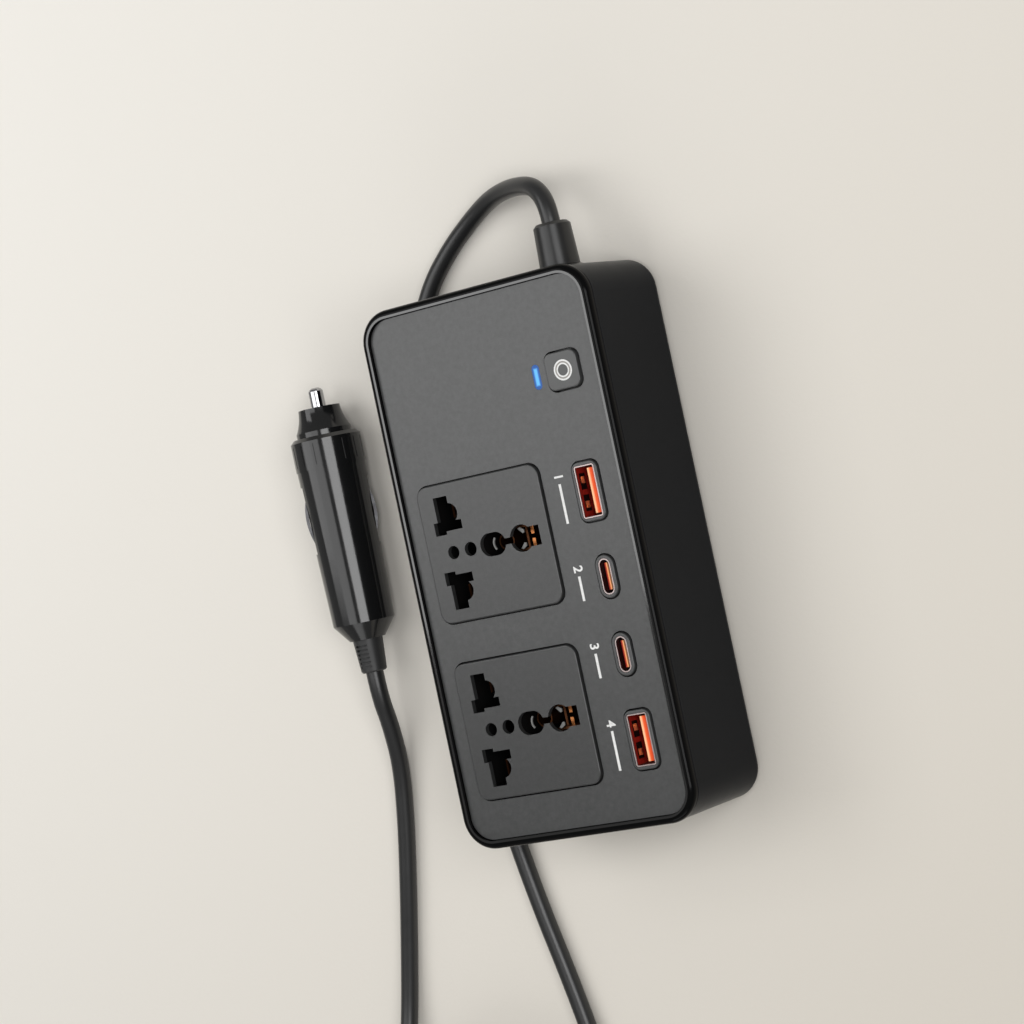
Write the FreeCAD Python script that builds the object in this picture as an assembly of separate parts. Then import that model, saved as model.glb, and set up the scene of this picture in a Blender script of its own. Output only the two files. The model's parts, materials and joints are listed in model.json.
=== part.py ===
"""Car power inverter: a flat case with two universal sockets and four USB ports, and a 12 V plug on a cord.

Millimetres. The origin lies under the middle of the case, on the surface that its feet stand on.
+X is the side of the USB ports, +Y the end that the cord leaves, and +Z is up.
"""
import FreeCAD, Part
import math
import os
from FreeCAD import Vector

# Case and its feet
CASE_LENGTH = 140.0
CASE_WIDTH = 69.0
CASE_HEIGHT = 36.5
CORNER_RADIUS = 8.5
WALL = 2.0
FLOOR = 2.0
BOTTOM_FILLET = 2.5
FOOT_HEIGHT = 1.5
FOOT_RECESS = 0.5
FOOT_DIAMETER = 8.0
FOOT_INSET = 15.0
FOOT_CLEARANCE = 0.05

# Top cover, its deck and the face panel
COVER_BAND = 2.4
COVER_FILLET = 1.6
COVER_OVERHANG = 0.2
PARTING_CHAMFER = 0.65
RIM_WIDTH = 2.2
DECK_THICKNESS = 2.3
LIP_CLEARANCE = 0.15
PANEL_RECESS = 1.1
PANEL_THICKNESS = 0.6
PANEL_CLEARANCE = 0.2

# Corner posts and case screws
POST_INSET = 5.0
POST_RADIUS = 3.25
BOSS_RADIUS = 4.0
BOSS_HEIGHT = 8.5
SCREW_DIAMETER = 3.0
SCREW_HEAD_DIAMETER = 5.4
SCREW_HEAD_HEIGHT = 2.0
SCREW_LENGTH = 15.0
SCREW_SINK = 3.5
SCREW_CLEARANCE = 0.2
PILOT_CLEARANCE = 0.05

# Vents at the fan end and under the case
VENT_WIDTH = 2.0
VENT_PITCH = 4.0
VENT_COUNT = 6
EXHAUST_MARGIN = 2.8
INTAKE_LENGTH = 26.0
INTAKE_OFFSET = 3.5

# Socket plates: their margins on the face, and the blocks behind them
PLATE_WIDTH = 37.0
PLATE_LENGTH = 35.3
PLATE_RADIUS = 3.0
PLATE_RISE = 0.9
PLATE_EDGE = 0.3
PLATE_GAP = 0.4
PLATE_SIDE_MARGIN = 6.9
PLATE_END_MARGIN = 12.55
PLATE_SPACING = 10.5
BLOCK_WIDTH = 33.0
BLOCK_LENGTH = 31.0
BLOCK_HEIGHT = 24.3
BLOCK_FLOOR = 2.0
BLOCK_CLEARANCE = 0.1
BLOCK_WALL = 0.8

# Pin openings, measured from a plate's centre: x from, x to, y from, y to
LIVE_BLADE = (-13.65, -9.45, 7.5, 14.45)
LIVE_FOOT = (-14.9, -11.5, 4.75, 8.1)
LIVE_CROSS = (-11.6, -6.5, 5.6, 7.95)
LIVE_ROUND_X = -9.75
LIVE_ROUND_Y = 9.95
LIVE_ROUND_RADIUS = 2.6
SMALL_HOLE_1_X = -10.7
SMALL_HOLE_1_RADIUS = 1.7
SMALL_HOLE_2_X = -5.45
SMALL_HOLE_2_RADIUS = 1.8
EARTH_OBLONG_FROM = -2.4
EARTH_OBLONG_TO = 5.3
EARTH_OBLONG_RADIUS = 2.95
EARTH_NECK_WIDTH = 1.6
EARTH_ROUND_X = 10.15
EARTH_ROUND_RADIUS = 3.45
EARTH_BLADE_FROM = 7.8
EARTH_BLADE_TO = 15.65
EARTH_BLADE_WIDTH = 5.0

# Sprung contacts in the socket blocks
LEAF = 0.6
LEAF_GAP = 0.2
CONTACT_CLEARANCE = 0.15
LIVE_CONTACT_SINK = 9.0
EARTH_LEAF_SINK = 3.0
EARTH_TAB_SINK = 7.5
EARTH_SLEEVE_SINK = 8.0
EARTH_SLEEVE_RADIUS = 2.3
EARTH_SLEEVE_WALL = 0.4

# USB ports: the distance from the right side, and the distances from the near end
PORT_FROM_SIDE = 11.8
USB_A_FROM_END = (83.9, 21.6)
USB_C_FROM_END = (62.5, 43.0)
USB_A_SHELL_WIDTH = 5.7
USB_A_SHELL_LENGTH = 13.1
USB_A_SHELL_RADIUS = 0.6
USB_A_TRIM_WIDTH = 7.4
USB_A_TRIM_LENGTH = 14.9
USB_A_TRIM_RADIUS = 2.0
USB_A_TONGUE_THICKNESS = 1.84
USB_A_TONGUE_LENGTH = 11.3
USB_A_TONGUE_OFFSET = 1.2
USB_A_TONGUE_SINK = 1.0
USB_C_SHELL_WIDTH = 3.3
USB_C_SHELL_LENGTH = 9.0
USB_C_TRIM_WIDTH = 5.2
USB_C_TRIM_LENGTH = 10.8
USB_C_TONGUE_THICKNESS = 0.7
USB_C_TONGUE_LENGTH = 6.7
USB_C_TONGUE_SINK = 0.8
SHELL_WALL = 0.3
SHELL_RISE = 0.6
TRIM_RISE = 0.7
TRIM_GAP = 0.4
TRIM_EDGE = 0.3
TRIM_CLEARANCE = 0.1
INSULATOR_HEIGHT = 3.0

# USB board with the switch and the indicator
USB_BOARD_DROP = 10.4
USB_BOARD_REACH = 6.0
USB_BOARD_NEAR_MARGIN = 11.0
USB_BOARD_FAR_MARGIN = 18.0
USB_BOARD_TAB_LENGTH = 16.0
USB_BOARD_TAB_EDGE = 0.1
USB_BOARD_CLEARANCE = 0.4
BOARD_THICKNESS = 1.6
USB_POST_FROM_SIDE = 5.5
USB_POST_FROM_END = (100.0, 53.0, 16.0)
USB_POST_DIAMETER = 4.6

# Power button, tact switch and indicator
BUTTON_FROM_SIDE = 11.9
BUTTON_FROM_END = 25.7
BUTTON_SIZE = 9.4
BUTTON_RADIUS = 2.0
BUTTON_RISE = 1.0
BUTTON_EDGE = 0.35
BUTTON_GAP = 0.45
BUTTON_FLANGE = 1.0
BUTTON_FLANGE_THICKNESS = 0.8
BUTTON_FLANGE_CLEARANCE = 0.2
BUTTON_STEM_DIAMETER = 4.0
BUTTON_TRAVEL = 0.8
SWITCH_SIZE = 6.0
SWITCH_HEIGHT = 4.0
PLUNGER_DIAMETER = 3.5
PLUNGER_HEIGHT = 1.8
PLUNGER_DEPTH = 2.0
PLUNGER_CLEARANCE = 0.07
LED_FROM_BUTTON = 8.0
LED_OFFSET = 0.2
LED_WIDTH = 3.0
LED_LENGTH = 7.0
LED_HEIGHT = 1.2
WINDOW_WIDTH = 2.1
WINDOW_LENGTH = 6.2
WINDOW_FOOT_HEIGHT = 1.2
WINDOW_CLEARANCE = 0.05

# Main board and what stands on it
BOARD_STANDOFF = 2.5
BOARD_EDGE_GAP = 1.3
BOARD_FAN_GAP = 0.8
BOARD_FAR_MARGIN = 12.0
BOARD_SCREW_INSET = 4.3
NEAR_SCREWS_FROM_END = 18.0
LEFT_SCREW_FROM_BLOCK = 5.2
RIGHT_SCREW_FROM_END = 16.0
STANDOFF_DIAMETER = 6.0
BOARD_SCREW_DIAMETER = 2.0
BOARD_SCREW_HEAD = 4.4
BOARD_SCREW_HEAD_HEIGHT = 1.6
BOARD_SCREW_GRIP = 3.2
TRANSFORMER_OFFSET = 1.6
TRANSFORMER_GAP = 1.5
TRANSFORMER_WIDTH = 24.0
TRANSFORMER_LENGTH = 22.0
TRANSFORMER_HEIGHT = 20.0
CORE_YOKE = 4.0
CORE_LEG_DIAMETER = 8.0
WINDING_WALL = 4.6
WINDING_CLEARANCE = 0.1
SINK_WALL_GAP = 1.3
SINK_BLOCK_GAP = 2.5
SINK_LENGTH = 20.0
SINK_HEIGHT = 22.0
SINK_LIFT = 1.0
SINK_PLATE = 2.4
SINK_FIN_DEPTH = 4.0
SINK_FIN = 1.2
SINK_FIN_COUNT = 5
TRANSISTOR_COUNT = 2
TRANSISTOR_WIDTH = 9.0
TRANSISTOR_HEIGHT = 15.0
TRANSISTOR_THICKNESS = 4.4
TRANSISTOR_PITCH = 10.0
ROW_OFFSET = 1.0
CAPACITOR_HEADROOM = 2.4
BULK_CAPACITOR_FROM_END = 102.0
BULK_CAPACITOR_DIAMETER = 12.0
INPUT_CAPACITORS_FROM_END = (88.0, 76.0)
INPUT_CAPACITOR_DIAMETER = 10.0
INDUCTOR_FROM_END = 60.0
INDUCTOR_DIAMETER = 14.0
INDUCTOR_BORE = 6.0
INDUCTOR_HEIGHT = 7.0
FUSE_FROM_END = 38.0
FUSE_WIDTH = 5.0
FUSE_LENGTH = 19.0
FUSE_HEIGHT = 9.5
FUSE_HOLDER_INSET = 0.8

# Cooling fan behind the exhaust vents
FAN_HEADROOM = 0.5
FAN_DEPTH = 10.0
FAN_X = -3.0
FAN_RIM = 1.2
FAN_CORNER_RADIUS = 2.0
FAN_HUB_DIAMETER = 13.0
FAN_HUB_DEPTH = 7.0
FAN_TIP_CLEARANCE = 0.6
FAN_BLADE_COUNT = 7
FAN_BLADE_THICKNESS = 1.0
FAN_BLADE_DEPTH = 6.0
FAN_STRUT_WIDTH = 2.0
FAN_STRUT_DEPTH = 1.6
FAN_STRUT_COUNT = 4
FAN_SHAFT_DIAMETER = 2.0
FAN_SHAFT_CLEARANCE = 0.05
FAN_HUB_GAP = 0.4

# Strain relief in the end wall
RELIEF_FROM_SIDE = 17.3
RELIEF_FROM_BOTTOM = 17.5
RELIEF_FLANGE_DIAMETER = 12.8
RELIEF_FLANGE_THICKNESS = 1.0
RELIEF_NECK_DIAMETER = 9.0
RELIEF_NECK_CLEARANCE = 0.1
RELIEF_INNER_THICKNESS = 1.5
RELIEF_BASE_DIAMETER = 10.4
RELIEF_END_DIAMETER = 9.6
RELIEF_LENGTH = 12.3
RELIEF_EDGE = 0.8

# Plug, measured along its axis from the tip
PLUG_X = -72.0
PLUG_TIP_Y = 57.2
PLUG_RING_DIAMETER = 19.2
PLUG_RING_FROM = 13.0
PLUG_RING_TO = 21.8
PLUG_STEP = 0.2
PLUG_REAR_DIAMETER = 16.9
PLUG_REAR_AT = 64.5
PLUG_END_DIAMETER = 9.8
PLUG_END_AT = 69.2
PLUG_SHOULDER = 1.0
RING_GROOVE_COUNT = 15
RING_GROOVE_FIRST = 52.0
RING_GROOVE_WIDTH = 0.4
RING_GROOVE_DEPTH = 0.25
RING_GROOVE_FROM = 14.9
RING_GROOVE_TO = 20.6
CAP_FROM = 5.4
CAP_NOSE_DIAMETER = 11.4
CAP_WAIST_DIAMETER = 12.0
CAP_WAIST_AT = 7.6
CAP_BASE_DIAMETER = 15.0
CAP_BASE_AT = 11.6
CAP_SLEEVE_DIAMETER = 12.6
CAP_SLEEVE_TO = 21.0
CAP_THREAD_CLEARANCE = 0.1
TIP_DIAMETER = 4.0
TIP_CLEARANCE = 0.08
TIP_FLANGE_DIAMETER = 8.0
TIP_FLANGE_THICKNESS = 1.5
PLUG_BORE_DIAMETER = 8.6
FUSE_TUBE_DIAMETER = 6.35
FUSE_TUBE_LENGTH = 30.0
SPRING_LENGTH = 14.0
SPRING_DIAMETER = 6.4
SPRING_WIRE = 0.8
SPRING_TURNS = 6
SIDE_CONTACT_TILT = 36.0
SIDE_CONTACT_FROM = 24.0
SIDE_CONTACT_TO = 46.0
SIDE_CONTACT_TAB = 2.0
SIDE_CONTACT_WIDTH = 5.0
SIDE_CONTACT_THICKNESS = 0.8
SIDE_CONTACT_PROUD = 0.5
SIDE_CONTACT_SWELL = 2.4
SIDE_CONTACT_TRAVEL = 0.9
SIDE_CONTACT_CLEARANCE = 0.2
BOOT_BASE_DIAMETER = 8.2
BOOT_END_DIAMETER = 7.0
BOOT_LENGTH = 9.1
BOOT_EDGE = 0.4
BOOT_SLOT_COUNT = 6
BOOT_SLOT_PITCH = 1.15
BOOT_SLOT_LENGTH = 0.55
BOOT_SLOT_SPAN = 3.6
BOOT_SLOT_DEPTH = 0.7

# Cord, its coil and the tie
CORD_DIAMETER = 4.8
CORD_LAY = 2.45
ARC_SHARE = 0.45
COIL_APPROACH = 15.0
COIL_X = -61.0
COIL_Y = -157.0
COIL_RADIUS = 30.2
COIL_PITCH = 5.4
COIL_TURNS = 3.5
TIE_THICKNESS = 0.6
TIE_WIDTH = 5.0
TIE_CLEARANCE = 0.3
TIE_LIFT = 0.05
LEAD_DIAMETER = 1.8
LEAD_SPACING = 2.4
LEAD_FROM_END = 16.0
LEAD_STRAIGHT = 4.0
LEAD_BEND = 2.0

# The cord's points after the strain relief, as far as the coil
EXIT_ROUTE = (
    (17.2, 84.7, 19.0),
    (16.1, 88.9, 18.4),
    (13.1, 92.3, 16.8),
    (8.2, 93.9, 14.1),
    (1.2, 94.6, 10.3),
    (-6.8, 93.9, 6.4),
    (-15.6, 90.4, 3.4),
    (-25.0, 84.3, CORD_LAY),
    (-34.0, 75.5, CORD_LAY),
    (-41.5, 61.5, CORD_LAY),
    (-46.0, 40.0, CORD_LAY),
    (-48.6, 8.0, CORD_LAY),
    (-48.2, -26.0, CORD_LAY),
    (-45.2, -58.0, CORD_LAY),
    (-40.5, -88.0, CORD_LAY),
    (-34.8, -114.0, CORD_LAY),
)

# The cord's points from the coil to the plug's boot
PLUG_ROUTE = (
    (-89.6, -119.0, 3.6),
    (-85.8, -101.0, CORD_LAY),
    (-81.3, -82.0, CORD_LAY),
    (-77.4, -64.0, CORD_LAY),
    (-74.4, -48.0, 3.2),
    (-72.7, -36.0, 6.6),
    (PLUG_X, -28.2, PLUG_RING_DIAMETER / 2),
)

# Levels and outlines that follow from the sizes above
CASE_BOTTOM = FOOT_HEIGHT
RIM_TOP = CASE_BOTTOM + CASE_HEIGHT
PARTING = RIM_TOP - COVER_BAND
PANEL_TOP = RIM_TOP - PANEL_RECESS
DECK_TOP = PANEL_TOP - PANEL_THICKNESS
DECK_BOTTOM = DECK_TOP - DECK_THICKNESS
PLATE_TOP = PANEL_TOP + PLATE_RISE
TRIM_TOP = PANEL_TOP + TRIM_RISE
SHELL_TOP = PANEL_TOP + SHELL_RISE
FLOOR_TOP = CASE_BOTTOM + FLOOR
BODY_WIDTH = CASE_WIDTH - 2 * COVER_OVERHANG
BODY_LENGTH = CASE_LENGTH - 2 * COVER_OVERHANG
BODY_RADIUS = CORNER_RADIUS - COVER_OVERHANG
INNER_WIDTH = BODY_WIDTH - 2 * WALL
INNER_LENGTH = BODY_LENGTH - 2 * WALL
INNER_RADIUS = BODY_RADIUS - WALL
POST_X = INNER_WIDTH / 2 - POST_INSET
POST_Y = INNER_LENGTH / 2 - POST_INSET
BOSS_TOP = FLOOR_TOP + BOSS_HEIGHT
SCREW_SEAT = CASE_BOTTOM + SCREW_SINK
BLOCK_BOTTOM = DECK_TOP - BLOCK_HEIGHT
POCKET_FLOOR = BLOCK_BOTTOM + BLOCK_FLOOR
USB_BOARD_TOP = DECK_BOTTOM - USB_BOARD_DROP
USB_BOARD_BOTTOM = USB_BOARD_TOP - BOARD_THICKNESS
MAIN_BOARD_BOTTOM = FLOOR_TOP + BOARD_STANDOFF
MAIN_BOARD_TOP = MAIN_BOARD_BOTTOM + BOARD_THICKNESS
NEAR_END = -CASE_LENGTH / 2
FAR_END = CASE_LENGTH / 2
LEFT_SIDE = -CASE_WIDTH / 2
RIGHT_SIDE = CASE_WIDTH / 2
SOCKET_X = LEFT_SIDE + PLATE_SIDE_MARGIN + PLATE_WIDTH / 2
SOCKET_2_Y = NEAR_END + PLATE_END_MARGIN + PLATE_LENGTH / 2
SOCKET_1_Y = SOCKET_2_Y + PLATE_LENGTH + PLATE_SPACING
PORT_X = RIGHT_SIDE - PORT_FROM_SIDE
USB_A_Y = [NEAR_END + distance for distance in USB_A_FROM_END]
USB_C_Y = [NEAR_END + distance for distance in USB_C_FROM_END]
BUTTON_X = RIGHT_SIDE - BUTTON_FROM_SIDE
BUTTON_Y = FAR_END - BUTTON_FROM_END
LED_X = BUTTON_X - LED_FROM_BUTTON
LED_Y = BUTTON_Y - LED_OFFSET
USB_POST_X = RIGHT_SIDE - USB_POST_FROM_SIDE
USB_POST_Y = [NEAR_END + distance for distance in USB_POST_FROM_END]
BOARD_SCREW_X = INNER_WIDTH / 2 - BOARD_SCREW_INSET
BLOCK_1_END = SOCKET_1_Y + BLOCK_LENGTH / 2
BOARD_SCREWS = [
    (-BOARD_SCREW_X, NEAR_END + NEAR_SCREWS_FROM_END),
    (BOARD_SCREW_X, NEAR_END + NEAR_SCREWS_FROM_END),
    (-BOARD_SCREW_X, BLOCK_1_END - LEFT_SCREW_FROM_BLOCK),
    (BOARD_SCREW_X, FAR_END - RIGHT_SCREW_FROM_END),
]
TRANSFORMER_X = SOCKET_X + TRANSFORMER_OFFSET
TRANSFORMER_Y = BLOCK_1_END + TRANSFORMER_GAP + TRANSFORMER_LENGTH / 2
SINK_X = -INNER_WIDTH / 2 + SINK_WALL_GAP
SINK_Y = BLOCK_1_END + SINK_BLOCK_GAP + SINK_LENGTH / 2
ROW_X = PORT_X - ROW_OFFSET
CAPACITOR_TOP = USB_BOARD_BOTTOM - CAPACITOR_HEADROOM
RELIEF_X = RIGHT_SIDE - RELIEF_FROM_SIDE
RELIEF_Z = CASE_BOTTOM + RELIEF_FROM_BOTTOM
END_WALL = BODY_LENGTH / 2
RELIEF_END = END_WALL + RELIEF_LENGTH
PLUG_AXIS_Z = PLUG_RING_DIAMETER / 2
FAN_SIZE = DECK_BOTTOM - FLOOR_TOP - FAN_HEADROOM
FAN_BORE = FAN_SIZE - 2 * FAN_RIM
FAN_Z = FLOOR_TOP + FAN_SIZE / 2
FAN_BACK = -INNER_LENGTH / 2
FAN_FRONT = FAN_BACK + FAN_DEPTH
COIL_LAY = CORD_DIAMETER / 2 + TIE_CLEARANCE + TIE_THICKNESS + TIE_LIFT
SOCKETS = ((1, SOCKET_1_Y), (2, SOCKET_2_Y))


def rounded_box(width, length, bottom, top, radius, x=0.0, y=0.0):
    """An upright box with round vertical edges, centred on x and y."""
    box = Part.makeBox(width, length, top - bottom, Vector(x - width / 2, y - length / 2, bottom))
    upright = [edge for edge in box.Edges if abs(edge.Vertexes[0].Z - edge.Vertexes[1].Z) > 0.001]
    return box.makeFillet(min(radius, width / 2 - 0.001, length / 2 - 0.001), upright)


def span_box(x_from, x_to, y_from, y_to, z_from, z_to):
    """A box given by its low and high faces."""
    corner = Vector(x_from, y_from, z_from)
    return Part.makeBox(x_to - x_from, y_to - y_from, z_to - z_from, corner)


def upright_cylinder(x, y, bottom, top, diameter):
    """A cylinder that stands along Z."""
    return Part.makeCylinder(diameter / 2, top - bottom, Vector(x, y, bottom))


def level_edges(shape, level):
    """The edges that lie flat at one height."""
    return [edge for edge in shape.Edges if all(abs(v.Z - level) < 0.001 for v in edge.Vertexes)]


def crosswise_edges(shape):
    """The edges that run along X."""
    return [edge for edge in shape.Edges if abs(edge.Vertexes[0].X - edge.Vertexes[1].X) > 0.001]


def joined(shapes):
    """One solid from several that touch or overlap."""
    result = shapes[0]
    for shape in shapes[1:]:
        result = result.fuse(shape)
    return result.removeSplitter()


def turned(profile, origin, axis_end):
    """A solid of revolution from (distance along the axis, radius) points."""
    wire = Part.makePolygon([Vector(along, radius, 0) for along, radius in profile])
    solid = Part.Face(wire).revolve(Vector(0, 0, 0), Vector(1, 0, 0), 360)
    direction = axis_end.sub(origin).normalize()
    solid.Placement = FreeCAD.Placement(origin, FreeCAD.Rotation(Vector(1, 0, 0), direction))
    return solid


def corner_arc(corner, start, end):
    """The arc that is tangent at its ends to the two equal lines that meet in a corner."""
    a = start.sub(corner)
    b = end.sub(corner)
    reach = a.Length
    half = a.getAngle(b) / 2
    radius = reach * math.tan(half)
    bisector = (a + b).normalize()
    middle = corner + bisector * (reach / math.cos(half) - radius)
    return Part.Arc(start, middle, end).toShape(), radius


def tube(edges, diameter):
    """A round bar along a smooth chain of lines and arcs."""
    path = Part.Wire(edges)
    first = edges[0]
    start = first.valueAt(first.FirstParameter)
    direction = first.tangentAt(first.FirstParameter)
    circle = Part.Wire(Part.makeCircle(diameter / 2, start, direction))
    return path.makePipeShell([circle], True, False)


def routed_edges(points):
    """Straight runs joined by tangent arcs, each as large as its two runs allow, with the arcs' radii."""
    edges = []
    radii = []
    last = points[0]
    for before, corner, after in zip(points, points[1:], points[2:]):
        reach = ARC_SHARE * min(corner.distanceToPoint(before), corner.distanceToPoint(after))
        start = corner + before.sub(corner).normalize() * reach
        end = corner + after.sub(corner).normalize() * reach
        arc, radius = corner_arc(corner, start, end)
        edges.append(Part.makeLine(last, start))
        edges.append(arc)
        radii.append(radius)
        last = end
    edges.append(Part.makeLine(last, points[-1]))
    return edges, radii


def biarc_edges(start, start_way, end, end_way):
    """Two tangent arcs from one point and direction to another."""
    chord = end.sub(start)
    ways = start_way + end_way
    spread = 2 * (1 - start_way.dot(end_way))
    along = chord.dot(ways)
    reach = (math.sqrt(along ** 2 + spread * chord.dot(chord)) - along) / spread
    first_corner = start + start_way * reach
    second_corner = end - end_way * reach
    middle = (first_corner + second_corner) * 0.5
    first_arc = corner_arc(first_corner, start, middle)[0]
    second_arc = corner_arc(second_corner, middle, end)[0]
    return [first_arc, second_arc]


def wound_edges(place, turns):
    """Biarcs of a quarter turn along a winding, from the function that gives its place at each turn."""
    step = 0.0001
    spans = round(turns * 4)
    stations = []
    for index in range(spans + 1):
        turn = turns * index / spans
        low = max(turn - step, 0)
        high = min(turn + step, turns)
        stations.append((place(turn), place(high).sub(place(low)).normalize()))
    edges = []
    for (start, start_way), (end, end_way) in zip(stations, stations[1:]):
        edges += biarc_edges(start, start_way, end, end_way)
    return edges


def path_length(edges):
    """The length of a chain of edges."""
    return sum(edge.Length for edge in edges)


def pin_openings(y, bottom, top):
    """The pin openings of one socket, as upright solids: live, neutral, two small holes and earth."""
    live = []
    for side in (1, -1):
        pieces = []
        for x_from, x_to, y_from, y_to in (LIVE_BLADE, LIVE_FOOT, LIVE_CROSS):
            low = min(side * y_from, side * y_to)
            high = max(side * y_from, side * y_to)
            pieces.append(span_box(SOCKET_X + x_from, SOCKET_X + x_to, y + low, y + high, bottom, top))
        round_y = y + side * LIVE_ROUND_Y
        pieces.append(upright_cylinder(SOCKET_X + LIVE_ROUND_X, round_y, bottom, top, 2 * LIVE_ROUND_RADIUS))
        live.append(joined(pieces))
    small = []
    for x, radius in ((SMALL_HOLE_1_X, SMALL_HOLE_1_RADIUS), (SMALL_HOLE_2_X, SMALL_HOLE_2_RADIUS)):
        small.append(upright_cylinder(SOCKET_X + x, y, bottom, top, 2 * radius))
    oblong_length = EARTH_OBLONG_TO - EARTH_OBLONG_FROM
    oblong_x = SOCKET_X + (EARTH_OBLONG_FROM + EARTH_OBLONG_TO) / 2
    oblong = rounded_box(
        oblong_length, 2 * EARTH_OBLONG_RADIUS, bottom, top, EARTH_OBLONG_RADIUS, oblong_x, y
    )
    neck = span_box(
        oblong_x, SOCKET_X + EARTH_ROUND_X, y - EARTH_NECK_WIDTH / 2, y + EARTH_NECK_WIDTH / 2, bottom, top
    )
    round_hole = upright_cylinder(SOCKET_X + EARTH_ROUND_X, y, bottom, top, 2 * EARTH_ROUND_RADIUS)
    blade = span_box(
        SOCKET_X + EARTH_BLADE_FROM, SOCKET_X + EARTH_BLADE_TO,
        y - EARTH_BLADE_WIDTH / 2, y + EARTH_BLADE_WIDTH / 2, bottom, top,
    )
    return live + small + [joined([oblong, neck, round_hole, blade])]


def live_contact_box(y, side):
    """The space of a live (side 1) or neutral (side -1) contact."""
    x_from = SOCKET_X + LIVE_BLADE[0] - LEAF_GAP - LEAF
    x_to = SOCKET_X + LIVE_BLADE[1] + LEAF_GAP + LEAF
    y_near = LIVE_FOOT[3] + LEAF
    y_far = LIVE_BLADE[3] - LEAF_GAP
    low = min(side * y_near, side * y_far)
    high = max(side * y_near, side * y_far)
    return span_box(x_from, x_to, y + low, y + high, POCKET_FLOOR, PLATE_TOP - LIVE_CONTACT_SINK)


def earth_contact_box(y):
    """The space of the earth leaves."""
    half = EARTH_BLADE_WIDTH / 2 + LEAF_GAP / 2 + LEAF
    x_from = SOCKET_X + EARTH_BLADE_FROM - LEAF_GAP - LEAF
    x_to = SOCKET_X + EARTH_BLADE_TO
    return span_box(x_from, x_to, y - half, y + half, POCKET_FLOOR, PLATE_TOP - EARTH_LEAF_SINK)


def make_lower_case():
    """The case tray: walls, floor, screw bosses, board standoffs, vents and the cord hole."""
    body = rounded_box(BODY_WIDTH, BODY_LENGTH, CASE_BOTTOM, PARTING, BODY_RADIUS)
    body = body.makeFillet(BOTTOM_FILLET, level_edges(body, CASE_BOTTOM))
    body = body.makeChamfer(PARTING_CHAMFER, level_edges(body, PARTING))
    tray = body.cut(rounded_box(INNER_WIDTH, INNER_LENGTH, FLOOR_TOP, RIM_TOP, INNER_RADIUS))
    raised = []
    holes = []
    for x in (-POST_X, POST_X):
        for y in (-POST_Y, POST_Y):
            raised.append(upright_cylinder(x, y, CASE_BOTTOM + FLOOR / 2, BOSS_TOP, 2 * BOSS_RADIUS))
            head_hole = SCREW_HEAD_DIAMETER + 2 * SCREW_CLEARANCE
            holes.append(upright_cylinder(x, y, 0, SCREW_SEAT, head_hole))
            holes.append(upright_cylinder(x, y, 0, BOSS_TOP + 1, SCREW_DIAMETER + 2 * SCREW_CLEARANCE))
    for x, y in BOARD_SCREWS:
        raised.append(upright_cylinder(x, y, CASE_BOTTOM + FLOOR / 2, MAIN_BOARD_BOTTOM, STANDOFF_DIAMETER))
        pilot = BOARD_SCREW_DIAMETER + 2 * PILOT_CLEARANCE
        pilot_bottom = MAIN_BOARD_TOP - BOARD_SCREW_GRIP - PILOT_CLEARANCE
        holes.append(upright_cylinder(x, y, pilot_bottom, MAIN_BOARD_BOTTOM + 1, pilot))
    for x in (-CASE_WIDTH / 2 + FOOT_INSET, CASE_WIDTH / 2 - FOOT_INSET):
        for y in (-CASE_LENGTH / 2 + FOOT_INSET, CASE_LENGTH / 2 - FOOT_INSET):
            pocket = FOOT_DIAMETER + 2 * FOOT_CLEARANCE
            holes.append(upright_cylinder(x, y, 0, CASE_BOTTOM + FOOT_RECESS, pocket))
    for index in range(VENT_COUNT):
        offset = (index - (VENT_COUNT - 1) / 2) * VENT_PITCH
        low = FAN_Z - FAN_BORE / 2 + EXHAUST_MARGIN
        high = FAN_Z + FAN_BORE / 2 - EXHAUST_MARGIN
        x = FAN_X + offset
        holes.append(span_box(
            x - VENT_WIDTH / 2, x + VENT_WIDTH / 2, -CASE_LENGTH / 2, FAN_BACK + WALL / 2, low, high
        ))
        y = TRANSFORMER_Y + offset
        intake_x = TRANSFORMER_X + INTAKE_OFFSET
        holes.append(span_box(
            intake_x - INTAKE_LENGTH / 2, intake_x + INTAKE_LENGTH / 2,
            y - VENT_WIDTH / 2, y + VENT_WIDTH / 2, 0, FLOOR_TOP + FLOOR / 2,
        ))
    neck_hole = RELIEF_NECK_DIAMETER / 2 + RELIEF_NECK_CLEARANCE
    holes.append(Part.makeCylinder(
        neck_hole, 4 * WALL, Vector(RELIEF_X, END_WALL - 2 * WALL, RELIEF_Z), Vector(0, 1, 0)
    ))
    return joined([tray] + raised).cut(Part.makeCompound(holes))


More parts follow.
